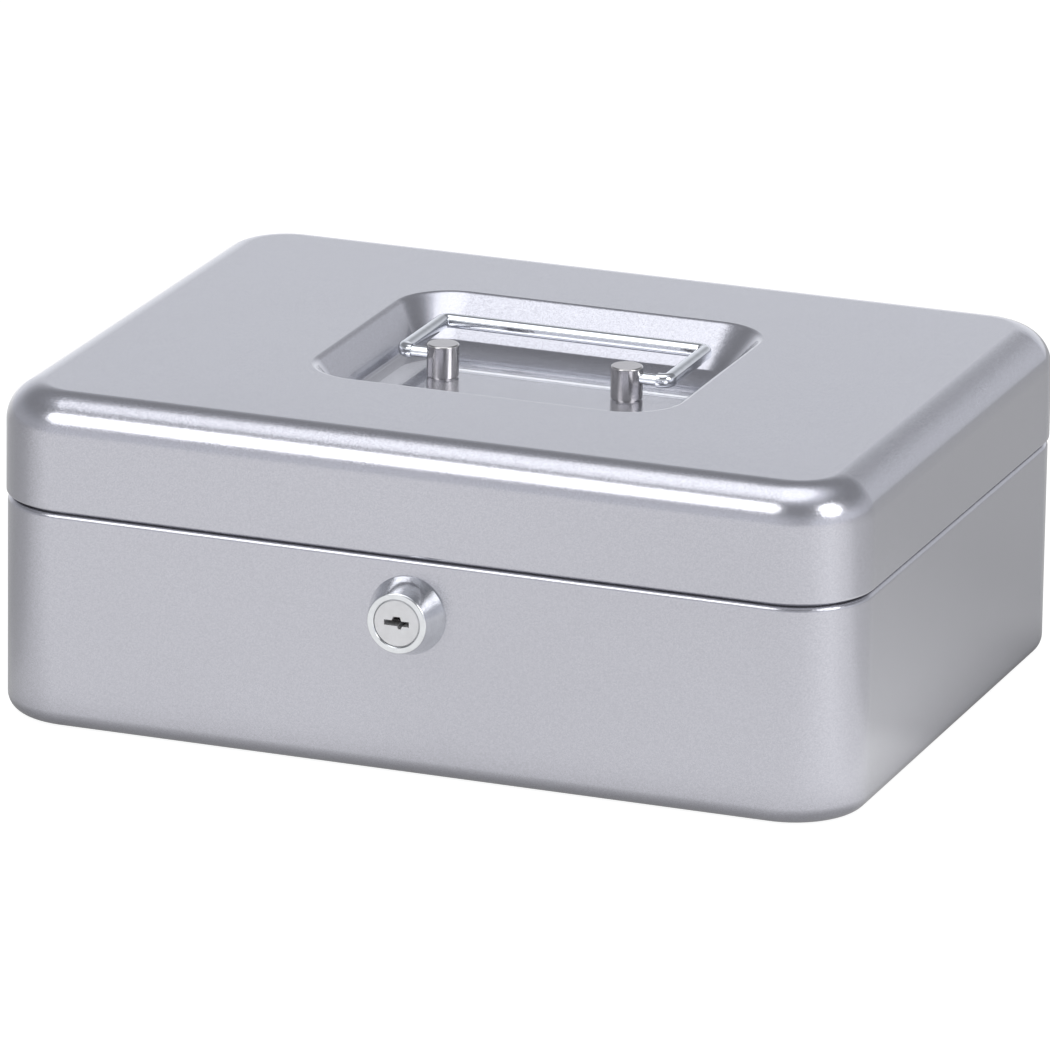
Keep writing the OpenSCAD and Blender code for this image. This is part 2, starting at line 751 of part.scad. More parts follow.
module cam_screw() {
    color("silver") on_lock_axis() translate([0, 0, cam_back - spring_washer_t])
        pan_screw(screw_d, cam_screw_l, cam_screw_head_d, cam_screw_head_t);
}

// ---- coin tray ------------------------------------------------------------

// One compartment's hollow, with a scoop along its front and back.
module compartment(x0, x1, y0, y1) {
    bottom = tray_bottom + tray_wall;
    top = tray_z + flange_t + OVER;
    translate([x0, 0, 0]) rotate([90, 0, 90]) linear_extrude(x1 - x0)
        polygon(concat(
            [[y0, top]],
            arc([y0 + scoop_r, bottom + scoop_r], scoop_r, 180, 270, 6),
            arc([y1 - scoop_r, bottom + scoop_r], scoop_r, 270, 360, 6),
            [[y1, top]]
        ));
}

// Shallow trough beside the lock, for keys and clips.
module trough(x0, x1) {
    translate([x0, -tray_in_y, tray_bottom + tray_wall])
        cube([x1 - x0, tray_in_y + bay_y, tray_depth + flange_t]);
}

// Upright tab with round shoulders, gripped to lift the tray out.
module lifting_tab() {
    top = flange_t + tab_h;
    translate([0, tab_t / 2, 0]) rotate([90, 0, 0]) linear_extrude(tab_t) polygon(concat(
        [[-tab_w / 2, 0], [tab_w / 2, 0]],
        arc([tab_w / 2 - tab_r, top - tab_r], tab_r, 0, 90),
        arc([-tab_w / 2 + tab_r, top - tab_r], tab_r, 90, 180)
    ));
}

module coin_tray() {
    color("dimgray") difference() {
        union() {
            case_slab(tray_r, tray_bottom, tray_depth + STEP);
            case_slab(rim_out_r, tray_z, flange_t);
            for (s = [-1, 1])
                translate([s * tab_x, bay_back + row_l + tray_div / 2, tray_z]) lifting_tab();
        }
        intersection() {
            union() {
                for (c = [0:tray_cols - 1], r = [0, 1]) {
                    x0 = -tray_in_x + c * (col_w + tray_div);
                    y0 = bay_back + r * (row_l + tray_div);
                    compartment(x0, x0 + col_w, y0, y0 + row_l);
                }
                trough(-tray_in_x, -bay_w / 2 - tray_wall);
                trough(bay_w / 2 + tray_wall, tray_in_x);
            }
            case_slab(tray_r - tray_wall, tray_bottom + tray_wall / 2, tray_depth + flange_t + OVER);
        }
        translate([-bay_w / 2, -box_d, tray_bottom - OVER])
            cube([bay_w, box_d + bay_y, tray_depth + flange_t + 2 * OVER]);
    }
}

// ---- the nodes ------------------------------------------------------------

base_shell();
lid_shell();
striker_bracket();
hinge_base_leaf(-1);  // hinge_base_leaf_left
hinge_base_leaf(1);  // hinge_base_leaf_right
hinge_lid_leaf(-1);  // hinge_lid_leaf_left
hinge_lid_leaf(1);  // hinge_lid_leaf_right
hinge_pin(-1);  // hinge_pin_left
hinge_pin(1);  // hinge_pin_right
handle_post(-1);  // handle_post_left
handle_post(1);  // handle_post_right
post_washer(-1);  // post_washer_left
post_washer(1);  // post_washer_right
post_screw(-1);  // post_screw_left
post_screw(1);  // post_screw_right
handle_bail();
lock_housing();
lock_washer();
lock_nut();
lock_plug();
wafer_tumblers();
tumbler_springs();
stop_washer();
lock_cam();
spring_washer();
cam_screw();
coin_tray();
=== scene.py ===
"""Cash box of pressed sheet steel: the finished look of every piece, built round the packed frame.

Metres. +X is right, +Y is the back (hinge) side, +Z is up, as in the frame.
"""
import json
import math

import bmesh
import bpy
from bpy.props import FloatProperty, FloatVectorProperty, IntProperty, PointerProperty
from mathutils import Matrix, Vector


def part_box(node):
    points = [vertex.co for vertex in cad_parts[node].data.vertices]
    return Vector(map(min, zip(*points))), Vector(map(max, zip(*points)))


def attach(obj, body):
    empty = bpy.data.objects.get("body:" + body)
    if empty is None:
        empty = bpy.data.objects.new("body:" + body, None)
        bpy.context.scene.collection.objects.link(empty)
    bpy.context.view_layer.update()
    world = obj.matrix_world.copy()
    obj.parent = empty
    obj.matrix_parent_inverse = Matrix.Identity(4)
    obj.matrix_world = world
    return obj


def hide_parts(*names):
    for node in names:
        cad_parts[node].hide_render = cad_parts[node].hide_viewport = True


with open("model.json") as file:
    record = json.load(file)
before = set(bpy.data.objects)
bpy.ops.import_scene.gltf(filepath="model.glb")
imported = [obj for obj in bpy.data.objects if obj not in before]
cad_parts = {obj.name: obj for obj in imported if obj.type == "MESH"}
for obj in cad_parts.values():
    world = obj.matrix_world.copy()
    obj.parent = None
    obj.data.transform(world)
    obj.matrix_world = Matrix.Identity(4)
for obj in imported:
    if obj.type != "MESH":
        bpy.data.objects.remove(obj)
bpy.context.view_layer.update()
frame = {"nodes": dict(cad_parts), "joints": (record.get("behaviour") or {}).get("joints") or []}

CAD = frame["nodes"]
JOINTS = {joint["name"]: joint for joint in frame["joints"]}

bl_info = {
    "name": "Cash Box",
    "version": (1, 0, 0),
    "blender": (4, 5, 0),
    "location": "View3D > Sidebar > Cash Box",
    "description": "Builds a lockable steel cash box with a folding handle and a coin tray",
    "category": "Object",
}

MM = 0.001
SIDES = {"left": -1, "right": 1}
OVER = 2 * MM             # how far a cutter runs past what it cuts

# Places that the frame gives.
LID_LOW, LID_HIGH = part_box("lid_shell")
BASE_LOW, BASE_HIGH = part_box("base_shell")
POST_LOW, POST_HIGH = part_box("handle_post_right")
BAIL_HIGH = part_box("handle_bail")[1]
HOUSING_LOW, HOUSING_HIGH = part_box("lock_housing")
LID_LEAF_LOW, LID_LEAF_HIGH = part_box("hinge_lid_leaf_right")
BASE_LEAF_LOW, BASE_LEAF_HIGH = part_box("hinge_base_leaf_right")
POST_X = (POST_LOW.x + POST_HIGH.x) / 2
HANDLE_AXIS = Vector(JOINTS["handle_swing"]["pos_m"])
LID_AXIS = Vector(JOINTS["lid_hinge"]["pos_m"])
LOCK_AXIS = Vector(JOINTS["lock_turn"]["pos_m"])


# ---- sizes and finishes that a user would change ---------------------------

def length(name, description, default):
    """A size, given in millimetres."""
    return FloatProperty(name=name, description=description, default=default * MM, min=0,
                         unit="LENGTH", precision=4)


def angle(name, description, default):
    """An angle, given in degrees."""
    return FloatProperty(name=name, description=description, default=math.radians(default),
                         subtype="ANGLE")


def whole(name, description, default, low, high):
    """A whole number."""
    return IntProperty(name=name, description=description, default=default, min=low, max=high)


def power(name, description, default):
    """A lamp's power in watts."""
    return FloatProperty(name=name, description=description, default=default, min=0, unit="POWER")


def colour(name, description, default):
    """A linear colour."""
    return FloatVectorProperty(name=name, description=description, default=default, size=3,
                               min=0, max=1, subtype="COLOR")


def factor(name, description, default, high=1.0):
    """A plain share or strength."""
    return FloatProperty(name=name, description=description, default=default, min=0, max=high,
                         subtype="FACTOR" if high == 1.0 else "NONE")


class CaseSizes(bpy.types.PropertyGroup):
    """Sizes of the two pressed shells that the frame's boxes don't give."""
    corner_r: length("Corner radius", "Outside radius of the lid's upright corners", 22)
    top_r: length("Top edge radius", "Outside radius of the lid's top edge", 11)
    foot_r: length("Foot radius", "Outside radius of the base's bottom edge", 5)
    sheet: length("Sheet", "Thickness of the steel sheet", 0.8)
    seam: length("Seam", "Open height of the seam between lid and base", 0.6)
    shoulder_r: length("Shoulder radius", "Outside radius of the base's shoulder", 1.6)
    hem_t: length("Hem thickness", "Thickness of the folded hem on the lid's lower edge", 2)
    hem_h: length("Hem height", "Height of that hem", 5)
    rim_gap: length("Rim gap", "Gap between the lid's hem and the base's inner rim", 0.6)
    burr: length("Edge rounding", "Rounding of the sheet's trimmed edges", 0.25)


class RecessSizes(bpy.types.PropertyGroup):
    """Sizes of the handle recess pressed into the lid."""
    width: length("Width", "Width at the lid's top", 108.6)
    depth: length("Depth", "Depth, front to back, at the lid's top", 94.2)
    middle: length("Middle", "How far the recess's middle lies behind the lid's middle", 2.8)
    corner_r: length("Corner radius", "Corner radius at the lid's top", 17)
    side_slope: angle("Side slope", "Slope of the walls at the sides and the front", 53)
    back_slope: angle("Back slope", "Slope of the wall behind the folded bail", 34)
    rim_r: length("Rim radius", "Radius along the upper edge", 2.5)
    floor_r: length("Floor radius", "Radius between wall and floor", 1.5)


class HandleSizes(bpy.types.PropertyGroup):
    """Sizes of the bail and its posts."""
    bar: length("Bar", "Thickness of the bail's bar", 4)
    bar_edge: length("Bar edge", "Edge radius of that bar", 1.7)
    bend_r: length("Bend radius", "Radius of the bar's middle line at the bends", 2.2)
    stub: length("Turned end", "Diameter of the bail's turned ends", 3.2)
    stub_in: length("Engagement", "How far a turned end goes into its post", 5.5)
    square_run: length("Square run", "Square bar between a bend and its turned end", 0.6)
    step: length("Step", "Length of the step from square bar to turned end", 0.1)
    stub_clear: length("End clearance", "Radial clearance of a turned end in its post", 0.05)
    end_gap: length("End gap", "Room behind a turned end in its post", 0.3)
    post_edge: length("Post edge", "Rounding of a post's top edge", 0.5)
    post_groove: length("Post groove", "Depth of the groove round a post's foot", 0.4)
    shank: length("Post shank", "Diameter of the post's shank in the lid", 5)
    shank_clear: length("Shank clearance", "Radial clearance of the shank in the lid", 0.1)
    screw: length("Screw", "Diameter of the screw in the post", 4)
    thread_l: length("Thread", "How far the screw's hole goes up into the post", 4)


class LockSizes(bpy.types.PropertyGroup):
    """Sizes of the lock's housing and plug."""
    bezel_front: length("Bezel front", "Diameter of the bezel's front ring", 16.6)
    barrel: length("Barrel", "Diameter of the barrel", 16)
    flats: length("Flats", "Distance across the barrel's two flats", 14)
    plug: length("Plug", "Diameter of the plug's face", 13.2)
    plug_body: length("Plug body", "Diameter of the plug behind its face", 12.2)
    plug_head: length("Plug collar", "Length of the plug's face collar", 3.2)
    plug_clear: length("Clearance", "Radial running clearance of the plug", 0.05)
    plug_sunk: length("Set back", "How far the plug's face lies behind the bezel's", 0.2)
    bezel_edge: length("Bezel edge", "Rounding of the bezel's edges", 0.5)
    tumblers: whole("Tumblers", "Wafer tumblers in the plug", 4, 2, 8)
    spring_wire: length("Spring wire", "Diameter of the tumbler springs' wire", 0.22)
    spring_turns: whole("Spring turns", "Turns of each tumbler spring", 4, 2, 8)
    stop_l: length("Stop cut", "Depth of the stop's cut in the barrel's end", 1.5)
    stop_turn: whole("Stop turn", "Angle of that cut in degrees", 102, 90, 120)


class HingeSizes(bpy.types.PropertyGroup):
    """Sizes of the hinges and their welds."""
    clear: length("Clearance", "Room round a hinge in the notched sheet", 0.4)
    leaf: length("Leaf", "Thickness of a hinge leaf", 1)
    leaf_h: length("Leaf height", "Height of a hinge leaf", 17)
    welds: whole("Welds", "Spot welds along each hinge leaf", 4, 1, 8)
    weld_r: length("Weld radius", "Radius of a spot weld", 2.1)
    weld_rise: length("Weld rise", "How far a spot weld stands up", 0.18)


# ---- outlines --------------------------------------------------------------

def arc(centre, radius, start, end, steps):
    """Points along an arc between two angles in degrees, both ends included."""
    angles = [math.radians(start + (end - start) * i / steps) for i in range(steps + 1)]
    return [(centre[0] + radius * math.cos(a), centre[1] + radius * math.sin(a)) for a in angles]


def round_rectangle(half_x, half_y, radius, steps, middle_y=0.0):
    """Outline of a rectangle with round corners, anticlockwise."""
    outline = []
    for quarter, (u, v) in enumerate([(1, 1), (-1, 1), (-1, -1), (1, -1)]):
        centre = (u * (half_x - radius), middle_y + v * (half_y - radius))
        outline += arc(centre, radius, 90 * quarter, 90 * quarter + 90, steps)
    return outline


def rounded_ring(half_x, half_y, radius, z, middle_y=0.0):
    """Points round a level rectangle with round corners, anticlockwise from above."""
    return [Vector((x, y, z)) for x, y in round_rectangle(half_x, half_y, radius, 20, middle_y)]


def pressed_rings(profile, half_x, half_y, corner_r, middle_y=0.0):
    """Rings of a pressed sheet. The profile has (distance from a corner's axis, height) points."""
    return [rounded_ring(half_x - corner_r + out, half_y - corner_r + out, out, z, middle_y)
            for out, z in profile]


# ---- meshes ----------------------------------------------------------------

def new_piece(name, draw, *given, **more):
    """An object whose mesh the function draws in a bmesh, from what else is given."""
    drawing = bmesh.new()
    draw(drawing, *given, **more)
    mesh = bpy.data.meshes.new(name)
    drawing.to_mesh(mesh)
    drawing.free()
    piece = bpy.data.objects.new(name, mesh)
    bpy.context.scene.collection.objects.link(piece)
    return piece


def loft(drawing, rings):
    """Joins rings of equally many points, and caps the two ends."""
    rows = [[drawing.verts.new(point) for point in ring] for ring in rings]
    count = len(rows[0])
    for a, b in zip(rows, rows[1:]):
        for i in range(count):
            j = (i + 1) % count
            drawing.faces.new((b[i], b[j], a[j], a[i]))
    drawing.faces.new(rows[0])
    drawing.faces.new(rows[-1][::-1])


def lathe(drawing, profile, turn, steps=72):
    """Turns a profile of (radius, height) points about the Z axis, and places it with a matrix.
    A profile that starts and ends on the axis makes a solid, and any other closes on itself."""
    solid = profile[0][0] == 0 and profile[-1][0] == 0
    inner = profile[1:-1] if solid else profile
    angles = [2 * math.pi * i / steps for i in range(steps)]
    rows = [[drawing.verts.new(turn @ Vector((r * math.cos(a), r * math.sin(a), z)))
             for a in angles] for r, z in inner]
    pairs = list(zip(rows, rows[1:])) if solid else list(zip(rows, rows[1:] + rows[:1]))
    for a, b in pairs:
        for i in range(steps):
            j = (i + 1) % steps
            drawing.faces.new((a[i], a[j], b[j], b[i]))
    if solid:
        drawing.faces.new(rows[0][::-1])
        drawing.faces.new(rows[-1])


def box(drawing, low, high):
    """A plain box between two corners."""
    middle = (Vector(low) + Vector(high)) / 2
    size = Vector(high) - Vector(low)
    place = Matrix.Translation(middle) @ Matrix.Diagonal((*size, 1))
    bmesh.ops.create_cube(drawing, size=1, matrix=place)


def settle(piece):
    """Makes what the piece's modifiers show its plain mesh."""
    graph = bpy.context.evaluated_depsgraph_get()
    mesh = bpy.data.meshes.new_from_object(piece.evaluated_get(graph), depsgraph=graph)
    piece.modifiers.clear()
    piece.data = mesh


def cut(piece, *cutters):
    """Takes the cutters away from the piece and deletes them."""
    for cutter in cutters:
        difference = piece.modifiers.new("cut", "BOOLEAN")
        difference.operation = "DIFFERENCE"
        difference.solver = "EXACT"
        difference.object = cutter
    settle(piece)
    for cutter in cutters:
        bpy.data.objects.remove(cutter)


def smooth(piece, sharp_deg=35):
    """Shades the piece smooth between its sharp edges, with flat faces kept flat."""
    for face in piece.data.polygons:
        face.use_smooth = True
    piece.data.set_sharp_from_angle(angle=math.radians(sharp_deg))
    weighted = piece.modifiers.new("weighted", "WEIGHTED_NORMAL")
    weighted.keep_sharp = True
    weighted.weight = 100
    settle(piece)


def fit(piece, body, slot, *nodes, finish=None):
    """Gives the piece its finish and its body, in place of its CAD nodes."""
    piece.data.materials.clear()
    piece.data.materials.append(FINISHES[finish or slot])
    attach(piece, body)
    if nodes:
        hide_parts(*nodes)


def dress(material, *nodes):
    """Gives CAD nodes their finish."""
    for node in nodes:
        materials = CAD[node].data.materials
        materials.clear()
        materials.append(material)


# ---- shader groups ---------------------------------------------------------

class Shader:
    """A node tree with short calls for adding and linking nodes."""

    def __init__(self, tree):
        self.tree = tree

    def link(self, value, socket):
        """Links an output to a socket, or sets the socket to a value."""
        if isinstance(value, bpy.types.NodeSocket):
            self.tree.links.new(value, socket)
        else:
            socket.default_value = value

    def node(self, kind, inputs=None, **settings):
        """Adds a node. Each input is a value, or an output socket to link."""
        made = self.tree.nodes.new(kind)
        for name, value in settings.items():
            setattr(made, name, value)
        for name, value in (inputs or {}).items():
            self.link(value, made.inputs[name])
        return made

    def math(self, operation, a, b=0.0):
        """One step of arithmetic."""
        return self.node("ShaderNodeMath", {0: a, 1: b}, operation=operation).outputs[0]

    def vector(self, operation, a, b=(0, 0, 0)):
        """One step of vector arithmetic."""
        return self.node("ShaderNodeVectorMath", {0: a, 1: b}, operation=operation).outputs[0]

    def grey(self, level):
        """A grey colour of this level."""
        parts = dict.fromkeys(("Red", "Green", "Blue"), level)
        return self.node("ShaderNodeCombineColor", parts).outputs[0]

    def axes(self, place):
        """The parts of a vector, by axis."""
        return self.node("ShaderNodeSeparateXYZ", {"Vector": place}).outputs

    def noise(self, place, scale, detail, roughness=0.5):
        """Soft noise between 0 and 1."""
        return self.node("ShaderNodeTexNoise", {"Vector": place, "Scale": scale, "Detail": detail,
                                                "Roughness": roughness}).outputs[0]

    def mix_colour(self, share, a, b, blend="MIX"):
        """A blend of two colours."""
        made = self.node("ShaderNodeMix", data_type="RGBA", blend_type=blend)
        for name, value in (("Factor", share), ("A", a), ("B", b)):
            self.link(value, next(s for s in made.inputs if s.name == name and s.enabled))
        return next(s for s in made.outputs if s.enabled)

    def ramp(self, value, stops):
        """A level that follows a value through (value, level) stops."""
        made = self.node("ShaderNodeValToRGB", {"Fac": value})
        points = made.color_ramp.elements
        while len(points) < len(stops):
            points.new(0.5)
        for point, (place, shade) in zip(points, stops):
            point.position = place
            point.color = (shade, shade, shade, 1)
        return made.outputs["Color"]

    def place(self, along=1.0, across=1.0):
        """Object coordinates, stretched along X and across it."""
        place = self.node("ShaderNodeTexCoord").outputs["Object"]
        stretch = self.node("ShaderNodeCombineXYZ", {"X": along, "Y": across, "Z": across})
        return self.vector("MULTIPLY", place, stretch.outputs[0])


def shader_group(name, inputs, outputs, build):
    """A shader group of number inputs. The function adds its nodes and returns their results."""
    group = bpy.data.node_groups.new(name, "ShaderNodeTree")
    for socket, default in inputs.items():
        made = group.interface.new_socket(socket, in_out="INPUT", socket_type="NodeSocketFloat")
        made.default_value = default
    for socket, kind in outputs.items():
        group.interface.new_socket(socket, in_out="OUTPUT", socket_type=f"NodeSocket{kind}")
    shader = Shader(group)
    results = build(shader, shader.node("NodeGroupInput").outputs)
    shader.node("NodeGroupOutput", results)
    return group


def waviness(shader, given):
    """The slight waviness of sprayed lacquer or plated metal, as a normal."""
    height = shader.noise(shader.place(), given["Scale"], detail=1.0)
    bump = shader.node("ShaderNodeBump", {"Height": height, "Distance": given["Depth"],
                                          "Strength": 1.0})
    return {"Normal": bump.outputs["Normal"]}


def clouds(shader, given):
    """Soft patches over a surface, as a factor about 1 that multiplies a colour or a roughness."""
    height = shader.noise(shader.place(given["Stretch"]), given["Scale"], given["Detail"],
                          roughness=0.55)
    swing = shader.math("MULTIPLY", shader.math("SUBTRACT", height, 0.5), given["Depth"])
    level = shader.math("ADD", shader.math("MULTIPLY", swing, 2.0), 1.0)
    return {"Factor": level, "Grey": shader.grey(level)}


def flakes(shader, given):
    """The metal flakes in a lacquer: a fine sparkle as a grey, and tilted facets as a normal."""
    cells = shader.node("ShaderNodeTexVoronoi", {"Vector": shader.place(), "Scale": given["Scale"]})
    value = shader.node("ShaderNodeSeparateColor", {"Color": cells.outputs["Color"]}).outputs[0]
    spread = shader.math("MULTIPLY", shader.math("SUBTRACT", value, 0.5), given["Sparkle"])
    facet = shader.vector("SUBTRACT", cells.outputs["Color"], (0.5, 0.5, 0.5))
    tilt = shader.node("ShaderNodeVectorMath", {0: facet, "Scale": given["Tilt"]},
                       operation="SCALE").outputs[0]
    face = shader.node("ShaderNodeNewGeometry").outputs["Normal"]
    return {"Grey": shader.grey(shader.math("ADD", spread, 1.0)),
            "Normal": shader.vector("NORMALIZE", shader.vector("ADD", face, tilt))}


def fine_marks(shader, given):
    """Fine straight marks in one direction, from drawing, turning or wear, as a height."""
    return {"Height": shader.noise(shader.place(given["Along"], given["Across"]), 1.0, detail=2.0)}


class Made(dict):
    """Things by name, each made when it is first asked for."""

    def __init__(self, make):
        super().__init__()
        self.make = make

    def __missing__(self, name):
        self[name] = self.make(name)
        return self[name]


GROUP_PLANS = {
    "waviness": ({"Scale": 250.0, "Depth": 0.00002}, {"Normal": "Vector"}, waviness),
    "clouds": ({"Scale": 30.0, "Stretch": 1.0, "Detail": 3.0, "Depth": 0.05},
               {"Factor": "Float", "Grey": "Color"}, clouds),
    "flakes": ({"Scale": 4000.0, "Sparkle": 0.1, "Tilt": 0.1},
               {"Grey": "Color", "Normal": "Vector"}, flakes),
    "fine_marks": ({"Across": 6000.0, "Along": 150.0}, {"Height": "Float"}, fine_marks),
}
GROUPS = Made(lambda name: shader_group(name, *GROUP_PLANS[name]))


# ---- materials -------------------------------------------------------------

class FinishColours(bpy.types.PropertyGroup):
    """Base colours of the finishes."""
    lacquer: colour("Lacquer", "Silver lacquer on the shells", (0.49, 0.49, 0.535))
    chrome: colour("Chrome", "Chrome plate on the bail", (0.78, 0.80, 0.83))
    turned: colour("Turned chrome", "Chrome plate on the lock's bezel", (0.72, 0.735, 0.75))
    nickel: colour("Nickel", "Satin nickel on the posts", (0.55, 0.535, 0.535))
    die_cast: colour("Die-cast zinc", "The plug's bare metal", (0.66, 0.66, 0.67))
    zinc: colour("Zinc plate", "Clear-passivated zinc on the small steel parts", (0.62, 0.64, 0.66))
    brass: colour("Brass", "Wafer tumblers", (0.72, 0.50, 0.22))
    spring: colour("Spring steel", "Tumbler springs", (0.40, 0.41, 0.43))
    plastic: colour("Tray plastic", "Moulded coin tray", (0.035, 0.036, 0.038))


def new_material(name):
    """An empty node material: the material, its Shader and its Principled node."""
    made = bpy.data.materials.new(name)
    made.use_nodes = True
    made.node_tree.nodes.clear()
    shader = Shader(made.node_tree)
    surface = shader.node("ShaderNodeBsdfPrincipled")
    output = shader.node("ShaderNodeOutputMaterial")
    made.node_tree.links.new(surface.outputs[0], output.inputs["Surface"])
    return made, shader, surface


def use(shader, name, **inputs):
    """Places a shader group, with its inputs' values."""
    made = shader.node("ShaderNodeGroup", node_tree=GROUPS[name])
    for socket, value in inputs.items():
        made.inputs[socket].default_value = value
    return made.outputs


def tint(shader, base, *greys):
    """A colour multiplied by greys that change over the surface."""
    result = (*base, 1)
    for grey in greys:
        result = shader.mix_colour(1.0, result, grey, "MULTIPLY")
    return result


def plug_in(shader, surface, **links):
    """Links or sets the Principled node's sockets, named with underscores for spaces."""
    for name, value in links.items():
        shader.link(value, surface.inputs[name.replace("_", " ")])


PASSIVATION_SCALE = 90.0
PASSIVATION_BLUE, PASSIVATION_YELLOW = (0.93, 0.98, 1.06, 1), (1.06, 1.01, 0.90, 1)


def patchy(name, base, roughness, patches, waves=None, metallic=1.0, tinted=True, passivated=False):
    """A finish whose colour and roughness drift in soft patches. The patches are given as (scale,
    depth), and so are the waves of the surface."""
    made, shader, surface = new_material(name)
    patch = use(shader, "clouds", Scale=patches[0], Depth=patches[1])
    greys = [patch["Grey"]] if tinted else []
    if passivated:
        drift = shader.noise(shader.place(PASSIVATION_SCALE, PASSIVATION_SCALE), 1.0, detail=2.0)
        greys.append(shader.mix_colour(drift, PASSIVATION_BLUE, PASSIVATION_YELLOW))
    plug_in(shader, surface, Base_Color=tint(shader, base, *greys), Metallic=metallic,
            Roughness=shader.math("MULTIPLY", patch["Factor"], roughness))
    if waves:
        wave = use(shader, "waviness", Scale=waves[0], Depth=waves[1])
        plug_in(shader, surface, Normal=wave["Normal"])
    return made, shader, surface


def lacquer(colours):
    """Silver lacquer: flakes under a clear, slightly clouded coat."""
    made, shader, surface = new_material("silver_lacquer")
    patch = use(shader, "clouds", Scale=22.0, Stretch=0.45, Depth=0.035)
    flake = use(shader, "flakes", Scale=3500.0, Sparkle=0.12, Tilt=0.05)
    rough = use(shader, "clouds", Scale=60.0, Depth=0.05)
    plug_in(shader, surface, Metallic=0.85, Normal=flake["Normal"],
            Base_Color=tint(shader, colours.lacquer, patch["Grey"], flake["Grey"]),
            Roughness=shader.math("MULTIPLY", rough["Factor"], 0.23),
            Coat_Weight=1.0, Coat_Roughness=0.02, Coat_IOR=1.5)
    return made


def nickel(colours):
    """Satin nickel with fine marks from turning."""
    made, shader, surface = patchy("satin_nickel", colours.nickel, 0.14, patches=(300.0, 0.08))
    marks = use(shader, "fine_marks", Across=300.0, Along=300.0)
    bump = shader.node("ShaderNodeBump", {"Height": marks["Height"], "Distance": 0.00001})
    plug_in(shader, surface, Normal=bump.outputs[0])
    return made


OWN_FINISHES = {"silver_lacquer": lacquer, "satin_nickel": nickel}

# Each patchy finish: the colour's name, the roughness, the patches, the waves, and the rest.
PATCHY_FINISHES = {
    "chrome_plate": ("chrome", 0.06, (160.0, 0.5), (420.0, 0.00003), {"tinted": False}),
    "turned_chrome": ("turned", 0.17, (260.0, 0.15), (700.0, 0.00002), {}),
    "die_cast_zinc": ("die_cast", 0.42, (500.0, 0.1), (4000.0, 0.00003), {"metallic": 0.6}),
    "zinc_plate": ("zinc", 0.3, (260.0, 0.12), (900.0, 0.00003), {"passivated": True}),
    "brass_wafer": ("brass", 0.28, (700.0, 0.15), None, {}),
    "spring_steel": ("spring", 0.25, (2000.0, 0.15), None, {}),
    "tray_plastic": ("plastic", 0.5, (25.0, 0.12), (1800.0, 0.00009), {"metallic": 0.0}),
}


def make_finish(name):
    """The material of this name, in the scene's colours."""
    colours = bpy.context.scene.cash_box_colours
    if name in OWN_FINISHES:
        return OWN_FINISHES[name](colours)
    base, roughness, patches, waves, more = PATCHY_FINISHES[name]
    return patchy(name, getattr(colours, base), roughness, patches, waves, **more)[0]


FINISHES = Made(make_finish)


# ---- case ------------------------------------------------------------------

def flatted_ring(radius, flat, y, steps=96):
    """Circle about the lock's axis with a flat above and below, at one depth."""
    ring = []
    for i in range(steps):
        angle = 2 * math.pi * i / steps
        height = max(-flat, min(flat, radius * math.sin(angle)))
        ring.append(Vector((LOCK_AXIS.x + radius * math.cos(angle), y, LOCK_AXIS.z + height)))
    return ring


def round_cutter(name, radius, low, high, turn):
    """Cylinder between two heights along the turned Z axis."""
    profile = [(0, low), (radius, low), (radius, high), (0, high)]
    return new_piece(name, lathe, profile, turn, steps=48)


def hinge_notches(low_y, high_y, low_z, high_z, clear):
    """Cutters for both hinges, along the back of a shell."""
    def both(drawing):
        for side in SIDES.values():
            ends = sorted((side * (LID_LEAF_LOW.x - clear), side * (LID_LEAF_HIGH.x + clear)))
            box(drawing, (ends[0], low_y, low_z), (ends[1], high_y, high_z))
    return new_piece("notches", both)


def wall_inset(drop, depth, slope, rim_r, floor_r):
    """How far a pressed wall has come in from its rim when it has dropped so far of its depth."""
    if drop < rim_r * (1 - math.cos(slope)):
        return math.sqrt(rim_r ** 2 - (rim_r - drop) ** 2)
    rise = depth - drop
    if rise < floor_r * (1 - math.cos(slope)):
        run = depth / math.tan(slope) + (rim_r + floor_r) * math.tan(slope / 2)
        return run - math.sqrt(floor_r ** 2 - (floor_r - rise) ** 2)
    return rim_r * math.tan(slope / 2) + drop / math.tan(slope)


def recess_rings(recess, top, depth, rim_r, floor_r, steps=36):
    """Rings of the recess's wall from the rim down to the floor, with a slope of its own behind."""
    rings = []
    for step in range(steps + 1):
        drop = depth * (1 - math.cos(math.pi * step / steps)) / 2
        side, back = (wall_inset(drop, depth, slope, rim_r, floor_r)
                      for slope in (recess.side_slope, recess.back_slope))
        middle_y = recess.middle + (side - back) / 2
        rings.append(rounded_ring(recess.width / 2 - side, (recess.depth - side - back) / 2,
                                  recess.corner_r - side, top - drop, middle_y))
    return rings


def lid_rings(case, recess):
    """The lid's sheet from the recess's floor out over the top, round the hem and back under."""
    top = LID_HIGH.z
    depth = top - POST_LOW.z - case.sheet
    over = recess_rings(recess, top, depth, recess.rim_r, recess.floor_r)
    under = recess_rings(recess, top - case.sheet, depth, recess.rim_r - case.sheet,
                         recess.floor_r + case.sheet)
    hem_r = case.hem_t / 2
    hem_top = LID_LOW.z + case.hem_h
    edge = (case.corner_r - case.top_r, top - case.top_r)
    wall = (arc(edge, case.top_r, 90, 0, 20)
            + arc((case.corner_r - hem_r, LID_LOW.z + hem_r), hem_r, 0, -180, 12)
            + arc((case.corner_r - case.hem_t + case.burr, hem_top - case.burr),
                  case.burr, 180, 90, 3)
            + [(case.corner_r - case.sheet, hem_top)]
            + arc(edge, case.top_r - case.sheet, 0, 90, 20))
    return over[::-1] + pressed_rings(wall, LID_HIGH.x, LID_HIGH.y, case.corner_r) + under


